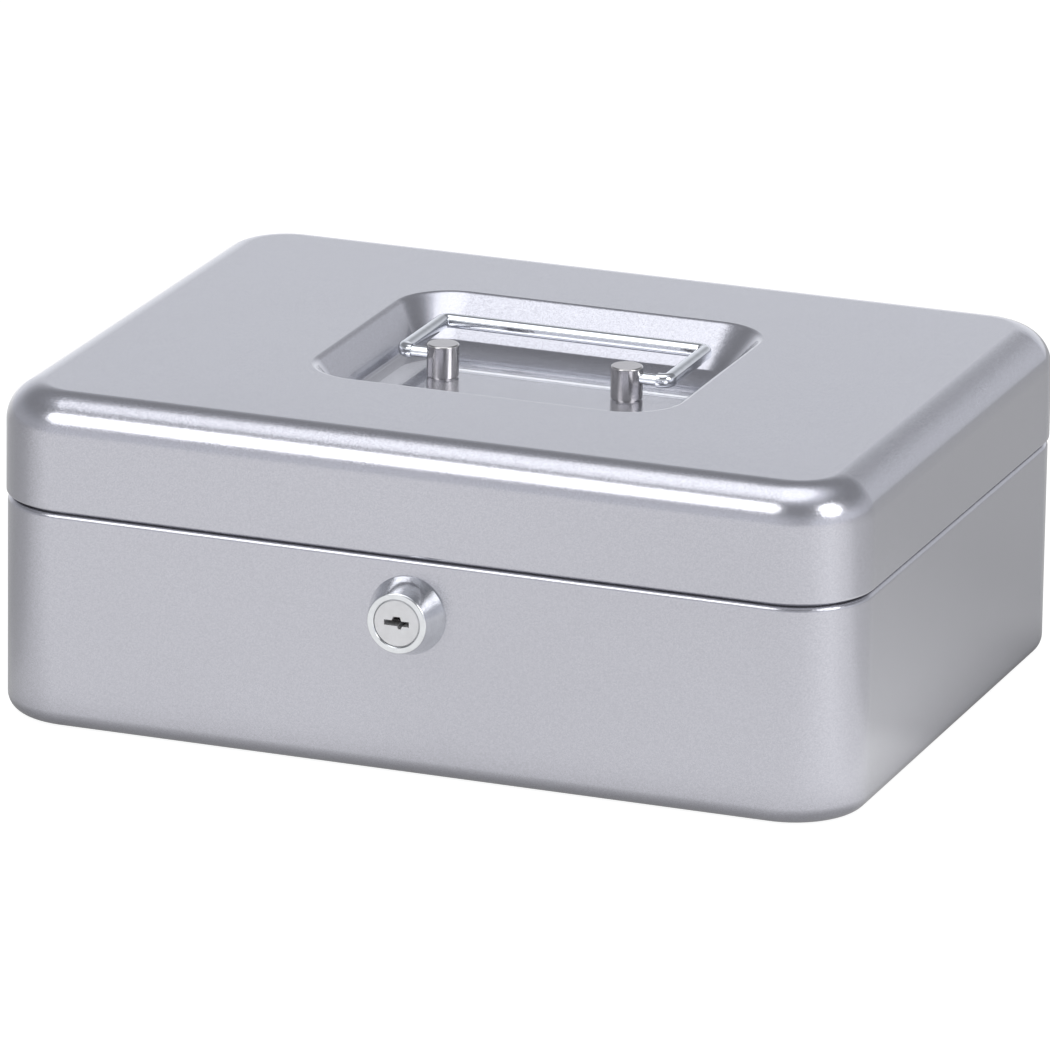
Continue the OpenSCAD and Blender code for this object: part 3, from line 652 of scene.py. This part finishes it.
def base_rings(case):
    """The base's sheet from its floor up inside, over the rim and shoulder, and down outside."""
    outer = case.corner_r - (LID_HIGH.x - BASE_HIGH.x)
    rim_out = case.corner_r - case.hem_t - case.rim_gap
    rim_in = rim_out - case.sheet
    shoulder_z = LID_LOW.z - case.seam
    foot = (outer - case.foot_r, case.foot_r)
    turn = (outer - case.shoulder_r, shoulder_z - case.shoulder_r)
    edge_z = BASE_HIGH.z - case.burr
    profile = (arc(foot, case.foot_r - case.sheet, -90, 0, 10)
               + arc(turn, case.shoulder_r - case.sheet, 0, 90, 6)
               + [(rim_in, shoulder_z - case.sheet)]
               + arc((rim_in + case.burr, edge_z), case.burr, 180, 90, 3)
               + arc((rim_out - case.burr, edge_z), case.burr, 90, 0, 3)
               + [(rim_out, shoulder_z)]
               + arc(turn, case.shoulder_r, 90, 0, 10)
               + arc(foot, case.foot_r, 0, -90, 14))
    return pressed_rings(profile, LID_HIGH.x, LID_HIGH.y, case.corner_r)


class CASHBOX_OT_base(bpy.types.Operator):
    """Press the base's shell"""
    bl_idname = "cash_box.base"
    bl_label = "Base shell"

    def execute(self, context):
        scene = context.scene
        case, lock, hinge = scene.cash_box_case, scene.cash_box_lock, scene.cash_box_hinge
        shell = new_piece("base_skin", loft, base_rings(case))
        rim_y = LID_HIGH.y - case.hem_t - case.rim_gap
        radius, flat = lock.barrel / 2 + lock.plug_clear, lock.flats / 2 + lock.plug_clear
        depths = (BASE_LOW.y - OVER, BASE_LOW.y + case.sheet + OVER)
        hole = new_piece("lock_hole", loft, [flatted_ring(radius, flat, y) for y in depths])
        notch_z = 2 * LID_AXIS.z - BASE_LEAF_HIGH.z - hinge.clear
        cut(shell, hole, hinge_notches(rim_y, LID_HIGH.y + OVER, notch_z, LID_AXIS.z, hinge.clear))
        smooth(shell)
        fit(shell, "base", "silver_lacquer", "base_shell")
        return {"FINISHED"}


class CASHBOX_OT_lid(bpy.types.Operator):
    """Press the lid's shell with its handle recess"""
    bl_idname = "cash_box.lid"
    bl_label = "Lid shell"

    def execute(self, context):
        scene = context.scene
        case, hinge, handle = scene.cash_box_case, scene.cash_box_hinge, scene.cash_box_handle
        shell = new_piece("lid_skin", loft, lid_rings(case, scene.cash_box_recess))
        hem_y = LID_HIGH.y - case.hem_t - OVER
        leaf_z = BASE_LEAF_HIGH.z + hinge.clear
        hem_z = LID_LOW.z + case.hem_h + hinge.clear
        hole_r = handle.shank / 2 + handle.shank_clear
        hole_ends = (POST_LOW.z - OVER, POST_LOW.z + case.sheet + OVER)
        holes = [round_cutter("shank_hole", hole_r, *hole_ends,
                              Matrix.Translation((side * POST_X, 0, 0))) for side in SIDES.values()]
        low_z = LID_LOW.z - OVER
        cut(shell, hinge_notches(hem_y, LID_HIGH.y + OVER, low_z, leaf_z, hinge.clear),
            hinge_notches(hem_y, LID_HIGH.y - case.sheet, low_z, hem_z, hinge.clear), *holes)
        smooth(shell)
        fit(shell, "lid", "silver_lacquer", "lid_shell")
        return {"FINISHED"}


# ---- handle ----------------------------------------------------------------

STUB_TIP = 0.75           # a turned end's size at its very tip, as a share of its full size


def bail_route(handle):
    """The bail's middle line, from the left post round to the right post, as (x, y, heading in
    degrees, 0 square to 1 round, share of the full size). It heads for 180 where it runs left."""
    arm_x = BAIL_HIGH.x - handle.bar / 2
    reach = BAIL_HIGH.y - handle.bar / 2
    bend = handle.bend_r
    stub_end = POST_HIGH.x - handle.stub_in
    tip_l = handle.bar_edge / 3
    square_from = arm_x - bend - handle.square_run
    turned = [(stub_end, 1.0, STUB_TIP), (stub_end + tip_l, 1.0, 1.0),
              (square_from - handle.step, 1.0, 1.0), (square_from, 0.0, 1.0)]
    route = [(-x, 0.0, 180.0, roundness, share) for x, roundness, share in turned]

    def bend_points(x, y, start, heading):
        return [(*point, heading - turn, 0.0, 1.0)
                for turn, point in zip(range(0, 91, 10), arc((x, y), bend, start, start - 90, 9))]
    route += bend_points(-arm_x + bend, bend, 270, 180)
    route += bend_points(-arm_x + bend, reach - bend, 180, 90)
    route += bend_points(arm_x - bend, reach - bend, 90, 0)
    route += bend_points(arm_x - bend, bend, 0, -90)
    return route + [(x, 0.0, -180.0, roundness, share) for x, roundness, share in reversed(turned)]


class CASHBOX_OT_bail(bpy.types.Operator):
    """Bend the handle's bail from square bar with turned ends"""
    bl_idname = "cash_box.bail"
    bl_label = "Handle bail"

    def execute(self, context):
        handle = context.scene.cash_box_handle
        rings = []
        for x, y, heading, roundness, share in bail_route(handle):
            half = handle.bar / 2 + (handle.stub - handle.bar) / 2 * roundness
            edge = handle.bar_edge + (half - handle.bar_edge) * roundness
            angle = math.radians(heading)
            across = Vector((-math.sin(angle), math.cos(angle), 0))
            centre = Vector((x, y, HANDLE_AXIS.z))
            rings.append([centre + share * (u * across + v * Vector((0, 0, 1)))
                          for u, v in round_rectangle(half, half, edge, steps=5)])
        bail = new_piece("bail", loft, rings[::-1])
        smooth(bail, sharp_deg=50)
        fit(bail, "handle", "chrome_plate", "handle_bail")
        return {"FINISHED"}


class CASHBOX_OT_posts(bpy.types.Operator):
    """Turn the two posts that carry the bail"""
    bl_idname = "cash_box.posts"
    bl_label = "Handle posts"

    def execute(self, context):
        handle, case = context.scene.cash_box_handle, context.scene.cash_box_case
        radius = (POST_HIGH.x - POST_LOW.x) / 2
        foot = POST_LOW.z + case.sheet
        waist = radius - handle.post_groove
        groove_h = handle.post_groove / 2
        thread_r = handle.screw / 2
        roof = foot + handle.thread_l
        shank_r = handle.shank / 2
        profile = ([(0, roof), (thread_r, roof), (thread_r, POST_LOW.z), (shank_r, POST_LOW.z),
                    (shank_r, foot), (waist, foot), (waist, foot + groove_h),
                    (radius, foot + groove_h + handle.post_groove)]
                   + arc((radius - handle.post_edge, POST_HIGH.z - handle.post_edge),
                         handle.post_edge, 0, 90, 6)
                   + [(0, POST_HIGH.z)])
        across = Matrix.Translation(HANDLE_AXIS) @ Matrix.Rotation(math.radians(90), 4, "Y")
        for name, side in SIDES.items():
            place = Matrix.Translation((side * POST_X, 0, 0))
            post = new_piece(f"post_{name}", lathe, profile, place)
            hole_ends = sorted((side * (POST_HIGH.x - handle.stub_in - handle.end_gap),
                                side * (POST_HIGH.x + OVER)))
            hole_r = handle.stub / 2 + handle.stub_clear
            cut(post, round_cutter("stub_hole", hole_r, *hole_ends, across))
            smooth(post, sharp_deg=50)
            fit(post, "lid", "satin_nickel", f"handle_post_{name}")
        return {"FINISHED"}


# ---- lock ------------------------------------------------------------------

SEAT_GAP = 0.01 * MM      # between the base's wall and the barrel's flats
LOCK_PLACE = (Matrix.Translation((LOCK_AXIS.x, BASE_LOW.y, LOCK_AXIS.z))
              @ Matrix.Rotation(math.radians(90), 4, "X"))


class CASHBOX_OT_housing(bpy.types.Operator):
    """Turn the lock's bezel and flatted barrel"""
    bl_idname = "cash_box.housing"
    bl_label = "Lock housing"

    def execute(self, context):
        lock = context.scene.cash_box_lock
        foot_r = HOUSING_HIGH.x
        front = BASE_LOW.y - HOUSING_LOW.y
        back = BASE_LOW.y - HOUSING_HIGH.y
        front_r = lock.bezel_front / 2
        bore = lock.plug / 2 + lock.plug_clear
        body = lock.plug_body / 2 + lock.plug_clear
        step = front - lock.plug_sunk - lock.plug_head - 2 * lock.plug_clear
        edge = lock.bezel_edge
        lean = math.degrees(math.atan2(foot_r - front_r, front))
        profile = ([(body, back), (lock.barrel / 2, back), (lock.barrel / 2, 0), (foot_r, 0)]
                   + arc((foot_r - edge, edge), edge, 0, lean, 3)
                   + arc((front_r - edge / 2, front - edge), edge, lean, 90, 6)
                   + [(bore + edge / 2, front), (bore, front - edge / 2), (bore, step),
                      (body, step)])
        housing = new_piece("lock_bezel", lathe, profile, LOCK_PLACE, steps=120)
        seat = BASE_LOW.y + SEAT_GAP

        def flats(drawing):
            for low, high in ((lock.flats / 2, lock.barrel), (-lock.barrel, -lock.flats / 2)):
                box(drawing, (-lock.barrel, seat, LOCK_AXIS.z + low),
                    (lock.barrel, HOUSING_HIGH.y + OVER, LOCK_AXIS.z + high))

        half = lock.stop_turn / 2
        sector = [(0, 0)] + arc((0, 0), lock.barrel, 90 - half, 90 + half, 12)
        stop = new_piece("stop", loft, [[LOCK_PLACE @ Vector((x, z, depth)) for x, z in sector]
                                        for depth in (back + lock.stop_l, back - OVER)])
        cut(housing, new_piece("flats", flats), stop)
        smooth(housing, sharp_deg=30)
        fit(housing, "base", "chrome_plate", "lock_housing", finish="turned_chrome")
        return {"FINISHED"}


# ---- repeated pieces, grown with geometry nodes ----------------------------

class Growth(Shader):
    """A geometry node tree with named inputs, which ends in Realize Instances and Set Material."""

    def __init__(self, name, inputs):
        group = bpy.data.node_groups.new(name, "GeometryNodeTree")
        super().__init__(group)
        for socket, kind in inputs.items():
            group.interface.new_socket(socket, in_out="INPUT", socket_type=f"NodeSocket{kind}")
        group.interface.new_socket("Material", in_out="INPUT", socket_type="NodeSocketMaterial")
        group.interface.new_socket("Geometry", in_out="OUTPUT", socket_type="NodeSocketGeometry")
        self.given = self.node("NodeGroupInput").outputs

    def end(self, instances):
        """Finishes the tree."""
        real = self.node("GeometryNodeRealizeInstances", {"Geometry": instances}).outputs[0]
        done = self.node("GeometryNodeSetMaterial", {"Geometry": real,
                                                     "Material": self.given["Material"]})
        self.node("NodeGroupOutput", {"Geometry": done.outputs[0]})
        return self.tree

    def line(self, count, first, step):
        """Points in a row."""
        return self.node("GeometryNodeMeshLine", {"Count": count, "Start Location": first,
                                                  "Offset": step}, mode="OFFSET").outputs[0]

    def copies(self, points, thing):
        """A smooth copy of the thing on each point."""
        smooth_thing = self.node("GeometryNodeSetShadeSmooth", {"Geometry": thing}).outputs[0]
        return self.node("GeometryNodeInstanceOnPoints", {"Points": points,
                                                          "Instance": smooth_thing}).outputs[0]


def grow(name, tree, material, **inputs):
    """A plain mesh piece that the tree makes from the given inputs."""
    piece = new_piece(name, lambda drawing: None)
    modifier = piece.modifiers.new("growth", "NODES")
    modifier.node_group = tree
    sockets = {item.name: item.identifier for item in tree.interface.items_tree
               if item.in_out == "INPUT"}
    for socket, value in (*inputs.items(), ("Material", material)):
        modifier[sockets[socket]] = value
    piece.update_tag()
    settle(piece)
    return piece


def spring_tree():
    """A row of coil springs that lie along X."""
    tree = Growth("spring_row", {"Count": "Int", "First": "Vector", "Step": "Vector",
                                 "Length": "Float", "Radius": "Float", "Wire": "Float",
                                 "Turns": "Float"})
    given = tree.given
    coil = tree.node("GeometryNodeCurveSpiral", {
        "Resolution": 24, "Rotations": given["Turns"], "Start Radius": given["Radius"],
        "End Radius": given["Radius"], "Height": given["Length"]}).outputs[0]
    laid = tree.node("GeometryNodeTransform", {"Geometry": coil,
                                               "Rotation": (0, math.pi / 2, 0)}).outputs[0]
    section = tree.node("GeometryNodeCurvePrimitiveCircle", {"Resolution": 8,
                                                             "Radius": given["Wire"]}).outputs[0]
    wire = tree.node("GeometryNodeCurveToMesh", {"Curve": laid, "Profile Curve": section,
                                                 "Fill Caps": True})
    row = tree.line(given["Count"], given["First"], given["Step"])
    return tree.end(tree.copies(row, wire.outputs[0]))


def weld_tree():
    """Low round spot welds in a row, with the same row again on the other hinge."""
    tree = Growth("weld_rows", {"Count": "Int", "First": "Vector", "Step": "Vector",
                                "Other": "Vector", "Radius": "Float", "Rise": "Float"})
    given = tree.given
    ball = tree.node("GeometryNodeMeshUVSphere", {"Segments": 24, "Rings": 12,
                                                  "Radius": given["Radius"]}).outputs[0]
    share = tree.math("DIVIDE", given["Rise"], given["Radius"])
    flat = tree.node("ShaderNodeCombineXYZ", {"X": 1.0, "Y": share, "Z": 1.0}).outputs[0]
    weld = tree.node("GeometryNodeTransform", {"Geometry": ball, "Scale": flat}).outputs[0]
    row = tree.copies(tree.line(given["Count"], given["First"], given["Step"]), weld)
    real = tree.node("GeometryNodeRealizeInstances", {"Geometry": row}).outputs[0]
    return tree.end(tree.copies(tree.line(2, (0, 0, 0), given["Other"]), real))


class CASHBOX_OT_springs(bpy.types.Operator):
    """Wind the springs of the wafer tumblers"""
    bl_idname = "cash_box.springs"
    bl_label = "Tumbler springs"

    def execute(self, context):
        lock = context.scene.cash_box_lock
        low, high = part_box("tumbler_springs")
        radius = (high.z - low.z) / 2
        wire = lock.spring_wire / 2
        pitch = (high.y - low.y - 2 * radius) / (lock.tumblers - 1)
        springs = grow("springs", spring_tree(), FINISHES["spring_steel"], Count=lock.tumblers,
                       First=(low.x + wire, low.y + radius, (low.z + high.z) / 2),
                       Step=(0, pitch, 0), Length=high.x - low.x - 2 * wire,
                       Radius=radius - wire, Wire=wire, Turns=float(lock.spring_turns))
        fit(springs, "lock", "spring_steel", "tumbler_springs")
        return {"FINISHED"}


class CASHBOX_OT_welds(bpy.types.Operator):
    """Weld the hinges' leaves to the shells"""
    bl_idname = "cash_box.welds"
    bl_label = "Hinge welds"

    def execute(self, context):
        hinge, case = context.scene.cash_box_hinge, context.scene.cash_box_case
        run = LID_LEAF_HIGH.x - LID_LEAF_LOW.x
        pitch = run / hinge.welds
        rows = {"lid": (LID_HIGH.y - case.sheet - hinge.leaf, LID_LEAF_HIGH.z - hinge.leaf_h / 2),
                "base": (BASE_HIGH.y - case.sheet - hinge.leaf, BASE_LEAF_LOW.z + hinge.leaf_h / 2)}
        tree = weld_tree()
        for body, (y, z) in rows.items():
            welds = grow(f"hinge_welds_{body}", tree, FINISHES["zinc_plate"], Count=hinge.welds,
                         First=(LID_LEAF_LOW.x + pitch / 2, y, z), Step=(pitch, 0, 0),
                         Other=(-LID_LEAF_LOW.x - LID_LEAF_HIGH.x, 0, 0),
                         Radius=hinge.weld_r, Rise=hinge.weld_rise)
            fit(welds, body, "zinc_plate")
        return {"FINISHED"}


# ---- finishes of the pieces kept from the frame ----------------------------

KEPT = {
    "zinc_plate": [name for name in CAD if name.startswith(("hinge_", "post_"))] + [
        "striker_bracket", "lock_washer", "lock_nut", "stop_washer", "lock_cam", "spring_washer",
        "cam_screw"],
    "die_cast_zinc": ["lock_plug"],
    "brass_wafer": ["wafer_tumblers"],
    "tray_plastic": ["coin_tray"],
}


class CASHBOX_OT_finishes(bpy.types.Operator):
    """Finish the hinges, the lock's works, the small hardware and the tray"""
    bl_idname = "cash_box.finishes"
    bl_label = "Hardware finishes"

    def execute(self, context):
        for finish, nodes in KEPT.items():
            dress(FINISHES[finish], *nodes)
        return {"FINISHED"}


# ---- stage -----------------------------------------------------------------

class StageSettings(bpy.types.PropertyGroup):
    """Where the camera stands, and how the box is lit."""
    azimuth: angle("Azimuth", "Camera's direction, from the front towards the right", 20.57)
    elevation: angle("Elevation", "Camera's height angle", 17.35)
    roll: angle("Roll", "Camera's roll", 0.85)
    distance: length("Distance", "From the camera to its target", 3000)
    target: FloatVectorProperty(name="Target", description="What the camera looks at", size=3,
                                default=(-0.00226, 0.00032, 0.04386), subtype="TRANSLATION")
    lens: FloatProperty(name="Lens", description="Focal length in millimetres on a 36 mm sensor",
                        default=371.1, min=20)
    horizon: factor("Horizon", "Brightness of the pale surroundings", 1.0, high=4.0)
    ceiling: factor("Ceiling", "Brightness above the surroundings", 0.26, high=4.0)
    crown: factor("Crown", "Brightness added round the softbox above", 1.0, high=4.0)
    floor_glow: factor("Floor glow", "Brightness that the floor has of its own", 0.8, high=4.0)
    floor_seen: factor("Floor seen", "Brightness of the floor's own that the camera sees", 0.92,
                       high=4.0)
    overhead: power("Overhead lamp", "Power of the softbox above", 4.3)
    front: power("Front lamp", "Power of the softbox at the front left", 5.9)
    side: power("Side lamp", "Power of the softbox at the front right", 7.2)


def toward(azimuth, elevation):
    """Unit vector at an azimuth in degrees from the back towards the right, and a height angle."""
    a, e = math.radians(azimuth), math.radians(elevation)
    return Vector((math.sin(a) * math.cos(e), math.cos(a) * math.cos(e), math.sin(e)))


# Each softbox: its azimuth and height angle in degrees, and its width and height in metres.
SOFTBOXES = {"overhead": (-130, 84, 1.4, 1.4), "front": (-153, 38, 0.98, 0.8),
             "side": (109, 32, 0.85, 0.9)}
SOFTBOX_AWAY = 1.6
FLOOR_RADIUS = 8
FLOOR_GREY = (0.2, 0.2, 0.2)
SENSOR_WIDTH = 36         # in millimetres, as Blender has it
VIEW_DEPTH = 50
SKY = (0.955, 0.975, 1.035)

# Levels round the box, as (azimuth in degrees from the back towards the right, level).
HORIZON = ((-180, 0.75), (-150, 0.88), (-130, 0.55), (-70, 0.5), (-45, 0.96), (10, 0.98), (32, 0.6),
           (60, 0.7), (78, 0.98), (130, 1.0), (152, 0.55), (180, 0.7))
# The floor's levels are painted light and shade: darker sectors where the box's shadow would lie
# and brighter ones where light would pool, seen in the box's reflections.
PAINTED_FLOOR_LEVELS = ((-180, 0.94), (-165, 1.0), (-138, 1.0), (-125, 0.72), (-114, 0.4), (-100, 0.3),
         (-75, 0.35), (-60, 0.7), (-40, 1.2), (-15, 1.0), (2, 0.28), (30, 0.36), (48, 0.34),
         (64, 0.45), (90, 0.62), (98, 0.9), (118, 1.2), (140, 1.0), (160, 0.97), (180, 0.94))

# Shares by height, as (sine of the height angle, share): of the ceiling, and of the crown.
CEILING = ((0.0, 0), (0.15, 0), (0.3, 0.22), (0.42, 0.7), (0.55, 1), (1, 1))
CROWN = ((0.743, 0), (0.8, 0.04), (0.848, 0.14), (0.883, 0.37), (0.9135, 0.66), (0.94, 0.86),
         (0.97, 1))

# Painted shadow: share of the floor's glow by distance from the box's foot, over this reach,
# darkest at the foot.
PAINTED_SHADE_NEAR_FOOT = ((0.0, 0.3), (0.1, 0.45), (0.3, 0.68), (0.65, 0.9), (1.0, 1.0))
NEAR_REACH = 28 * MM
FOOT_CORNER = 17 * MM


def softbox(name, azimuth, elevation, width, height, watts):
    """A round area lamp that faces the box."""
    lamp = bpy.data.lights.new(name, "AREA")
    lamp.shape = "ELLIPSE"
    lamp.size, lamp.size_y = width, height
    lamp.energy = watts
    holder = bpy.data.objects.new(name, lamp)
    way = toward(azimuth, elevation)
    holder.location = Vector((0, 0, LID_LOW.z)) + SOFTBOX_AWAY * way
    holder.rotation_euler = way.to_track_quat("Z", "Y").to_euler()
    bpy.context.scene.collection.objects.link(holder)


def around(shader, place, levels):
    """A level that changes with the azimuth of a place, in degrees from the back to the right."""
    parts = shader.axes(place)
    direction = shader.math("ARCTAN2", parts["X"], parts["Y"])
    share = shader.math("ADD", shader.math("DIVIDE", direction, 2 * math.pi), 0.5)
    top = max(level for _, level in levels)
    ramp = shader.ramp(share, [(azimuth / 360 + 0.5, level / top) for azimuth, level in levels])
    return shader.math("MULTIPLY", ramp, top)


def surroundings(stage):
    """World light: a pale horizon that changes round the box, and a darker ceiling."""
    world = bpy.data.worlds.new("surroundings")
    world.use_nodes = True
    world.node_tree.nodes.clear()
    shader = Shader(world.node_tree)
    way = shader.node("ShaderNodeTexCoord").outputs["Generated"]
    height = shader.axes(way)["Z"]
    low = shader.math("MULTIPLY", around(shader, way, HORIZON), stage.horizon)
    level = shader.node("ShaderNodeMix", {0: shader.ramp(height, CEILING), 2: low,
                                          3: stage.ceiling}).outputs[0]
    crown = shader.math("MULTIPLY", shader.ramp(height, CROWN), stage.crown)
    level = shader.math("ADD", level, crown)
    light = shader.node("ShaderNodeBackground", {"Color": (*SKY, 1), "Strength": level}).outputs[0]
    white = shader.node("ShaderNodeBackground", {"Color": (1, 1, 1, 1), "Strength": 1.0}).outputs[0]
    seen = shader.node("ShaderNodeLightPath").outputs["Is Camera Ray"]
    shown = shader.node("ShaderNodeMixShader", {0: seen, 1: light, 2: white}).outputs[0]
    shader.node("ShaderNodeOutputWorld", {"Surface": shown})
    bpy.context.scene.world = world


def painted_foot_shadow(shader, place):
    """Painted shadow: a share that falls towards the foot of the box, standing in for the shade on
    a floor beside a thing.
    """
    parts = shader.axes(place)
    off = [shader.math("MAXIMUM", shader.math("SUBTRACT", shader.math("ABSOLUTE", parts[axis]),
                                              half - FOOT_CORNER), 0.0)
           for axis, half in (("X", BASE_HIGH.x), ("Y", BASE_HIGH.y))]
    away = shader.math("SQRT", shader.math("ADD", shader.math("MULTIPLY", off[0], off[0]),
                                           shader.math("MULTIPLY", off[1], off[1])))
    share = shader.math("DIVIDE", shader.math("SUBTRACT", away, FOOT_CORNER), NEAR_REACH)
    return shader.ramp(share, PAINTED_SHADE_NEAR_FOOT)


def floor_material(stage):
    """White floor with light of its own, evenly white for the camera; the glow that the box's
    reflections and bounced light see carries painted light and shade round the box and a painted
    shadow near its foot.
    """
    made, shader, surface = new_material("white_floor")
    patch = use(shader, "clouds", Scale=4.0, Depth=0.01)
    place = shader.place()
    # Painted light and shade round the box, times a painted shadow towards its foot; only
    # reflections and bounced light see it, the camera sees floor_seen.
    level = shader.math("MULTIPLY", around(shader, place, PAINTED_FLOOR_LEVELS), painted_foot_shadow(shader, place))
    seen = shader.node("ShaderNodeLightPath").outputs["Is Camera Ray"]
    painted_glow = shader.math("MULTIPLY", level, stage.floor_glow)
    glow = shader.node("ShaderNodeMix", {0: seen, 2: painted_glow, 3: stage.floor_seen}).outputs[0]
    plug_in(shader, surface, Base_Color=tint(shader, FLOOR_GREY, patch["Grey"]), Roughness=0.8,
            Emission_Color=(1, 1, 1, 1), Emission_Strength=glow)
    return made


def stand_camera(stage):
    """The camera, aimed at its target from the stage's angles."""
    lens = bpy.data.cameras.new("camera")
    lens.lens = stage.lens
    lens.sensor_width = SENSOR_WIDTH
    lens.clip_end = VIEW_DEPTH
    camera = bpy.data.objects.new("camera", lens)
    look = toward(-math.degrees(stage.azimuth), -math.degrees(stage.elevation))
    level = Vector((math.cos(stage.azimuth), math.sin(stage.azimuth), 0))
    right = Matrix.Rotation(-stage.roll, 3, look) @ level
    up = right.cross(look)
    camera.matrix_world = Matrix.Translation(Vector(stage.target) - stage.distance * look) @ Matrix(
        (right, up, -look)).transposed().to_4x4()
    bpy.context.scene.collection.objects.link(camera)
    bpy.context.scene.camera = camera


class CASHBOX_OT_stage(bpy.types.Operator):
    """Set up the floor, the camera and the light"""
    bl_idname = "cash_box.stage"
    bl_label = "Stage"

    def execute(self, context):
        stage = context.scene.cash_box_stage
        floor = new_piece("floor", bmesh.ops.create_circle, cap_ends=True, segments=64,
                          radius=FLOOR_RADIUS)
        floor.data.materials.append(floor_material(stage))
        surroundings(stage)
        for name, place in SOFTBOXES.items():
            softbox(f"{name}_softbox", *place, getattr(stage, name))
        stand_camera(stage)
        context.scene.view_settings.view_transform = "Standard"
        return {"FINISHED"}


# ---- add-on ----------------------------------------------------------------

PIECES = (CASHBOX_OT_base, CASHBOX_OT_lid, CASHBOX_OT_bail, CASHBOX_OT_posts, CASHBOX_OT_housing,
          CASHBOX_OT_springs, CASHBOX_OT_welds, CASHBOX_OT_finishes, CASHBOX_OT_stage)
SETTINGS = {"cash_box_case": CaseSizes, "cash_box_recess": RecessSizes,
            "cash_box_handle": HandleSizes, "cash_box_lock": LockSizes,
            "cash_box_hinge": HingeSizes, "cash_box_colours": FinishColours,
            "cash_box_stage": StageSettings}


class CASHBOX_PT_panel(bpy.types.Panel):
    """The cash box's pieces and their settings"""
    bl_idname = "CASHBOX_PT_panel"
    bl_label = "Cash Box"
    bl_space_type = "VIEW_3D"
    bl_region_type = "UI"
    bl_category = "Cash Box"

    def draw(self, context):
        for piece in PIECES:
            self.layout.operator(piece.bl_idname)
        for pointer, settings in SETTINGS.items():
            group = self.layout.box()
            group.label(text=settings.__doc__)
            for name in settings.__annotations__:
                group.prop(getattr(context.scene, pointer), name)


CLASSES = (*SETTINGS.values(), *PIECES, CASHBOX_PT_panel)


def register():
    """Registers the add-on's classes and its settings on the scene."""
    for each in CLASSES:
        bpy.utils.register_class(each)
    for pointer, settings in SETTINGS.items():
        setattr(bpy.types.Scene, pointer, PointerProperty(type=settings))


def unregister():
    """Takes them off again."""
    for pointer in SETTINGS:
        delattr(bpy.types.Scene, pointer)
    for each in reversed(CLASSES):
        bpy.utils.unregister_class(each)


def main():
    register()
    for piece in PIECES:
        family, name = piece.bl_idname.split(".")
        getattr(getattr(bpy.ops, family), name)()


if __name__ == "__main__":
    main()
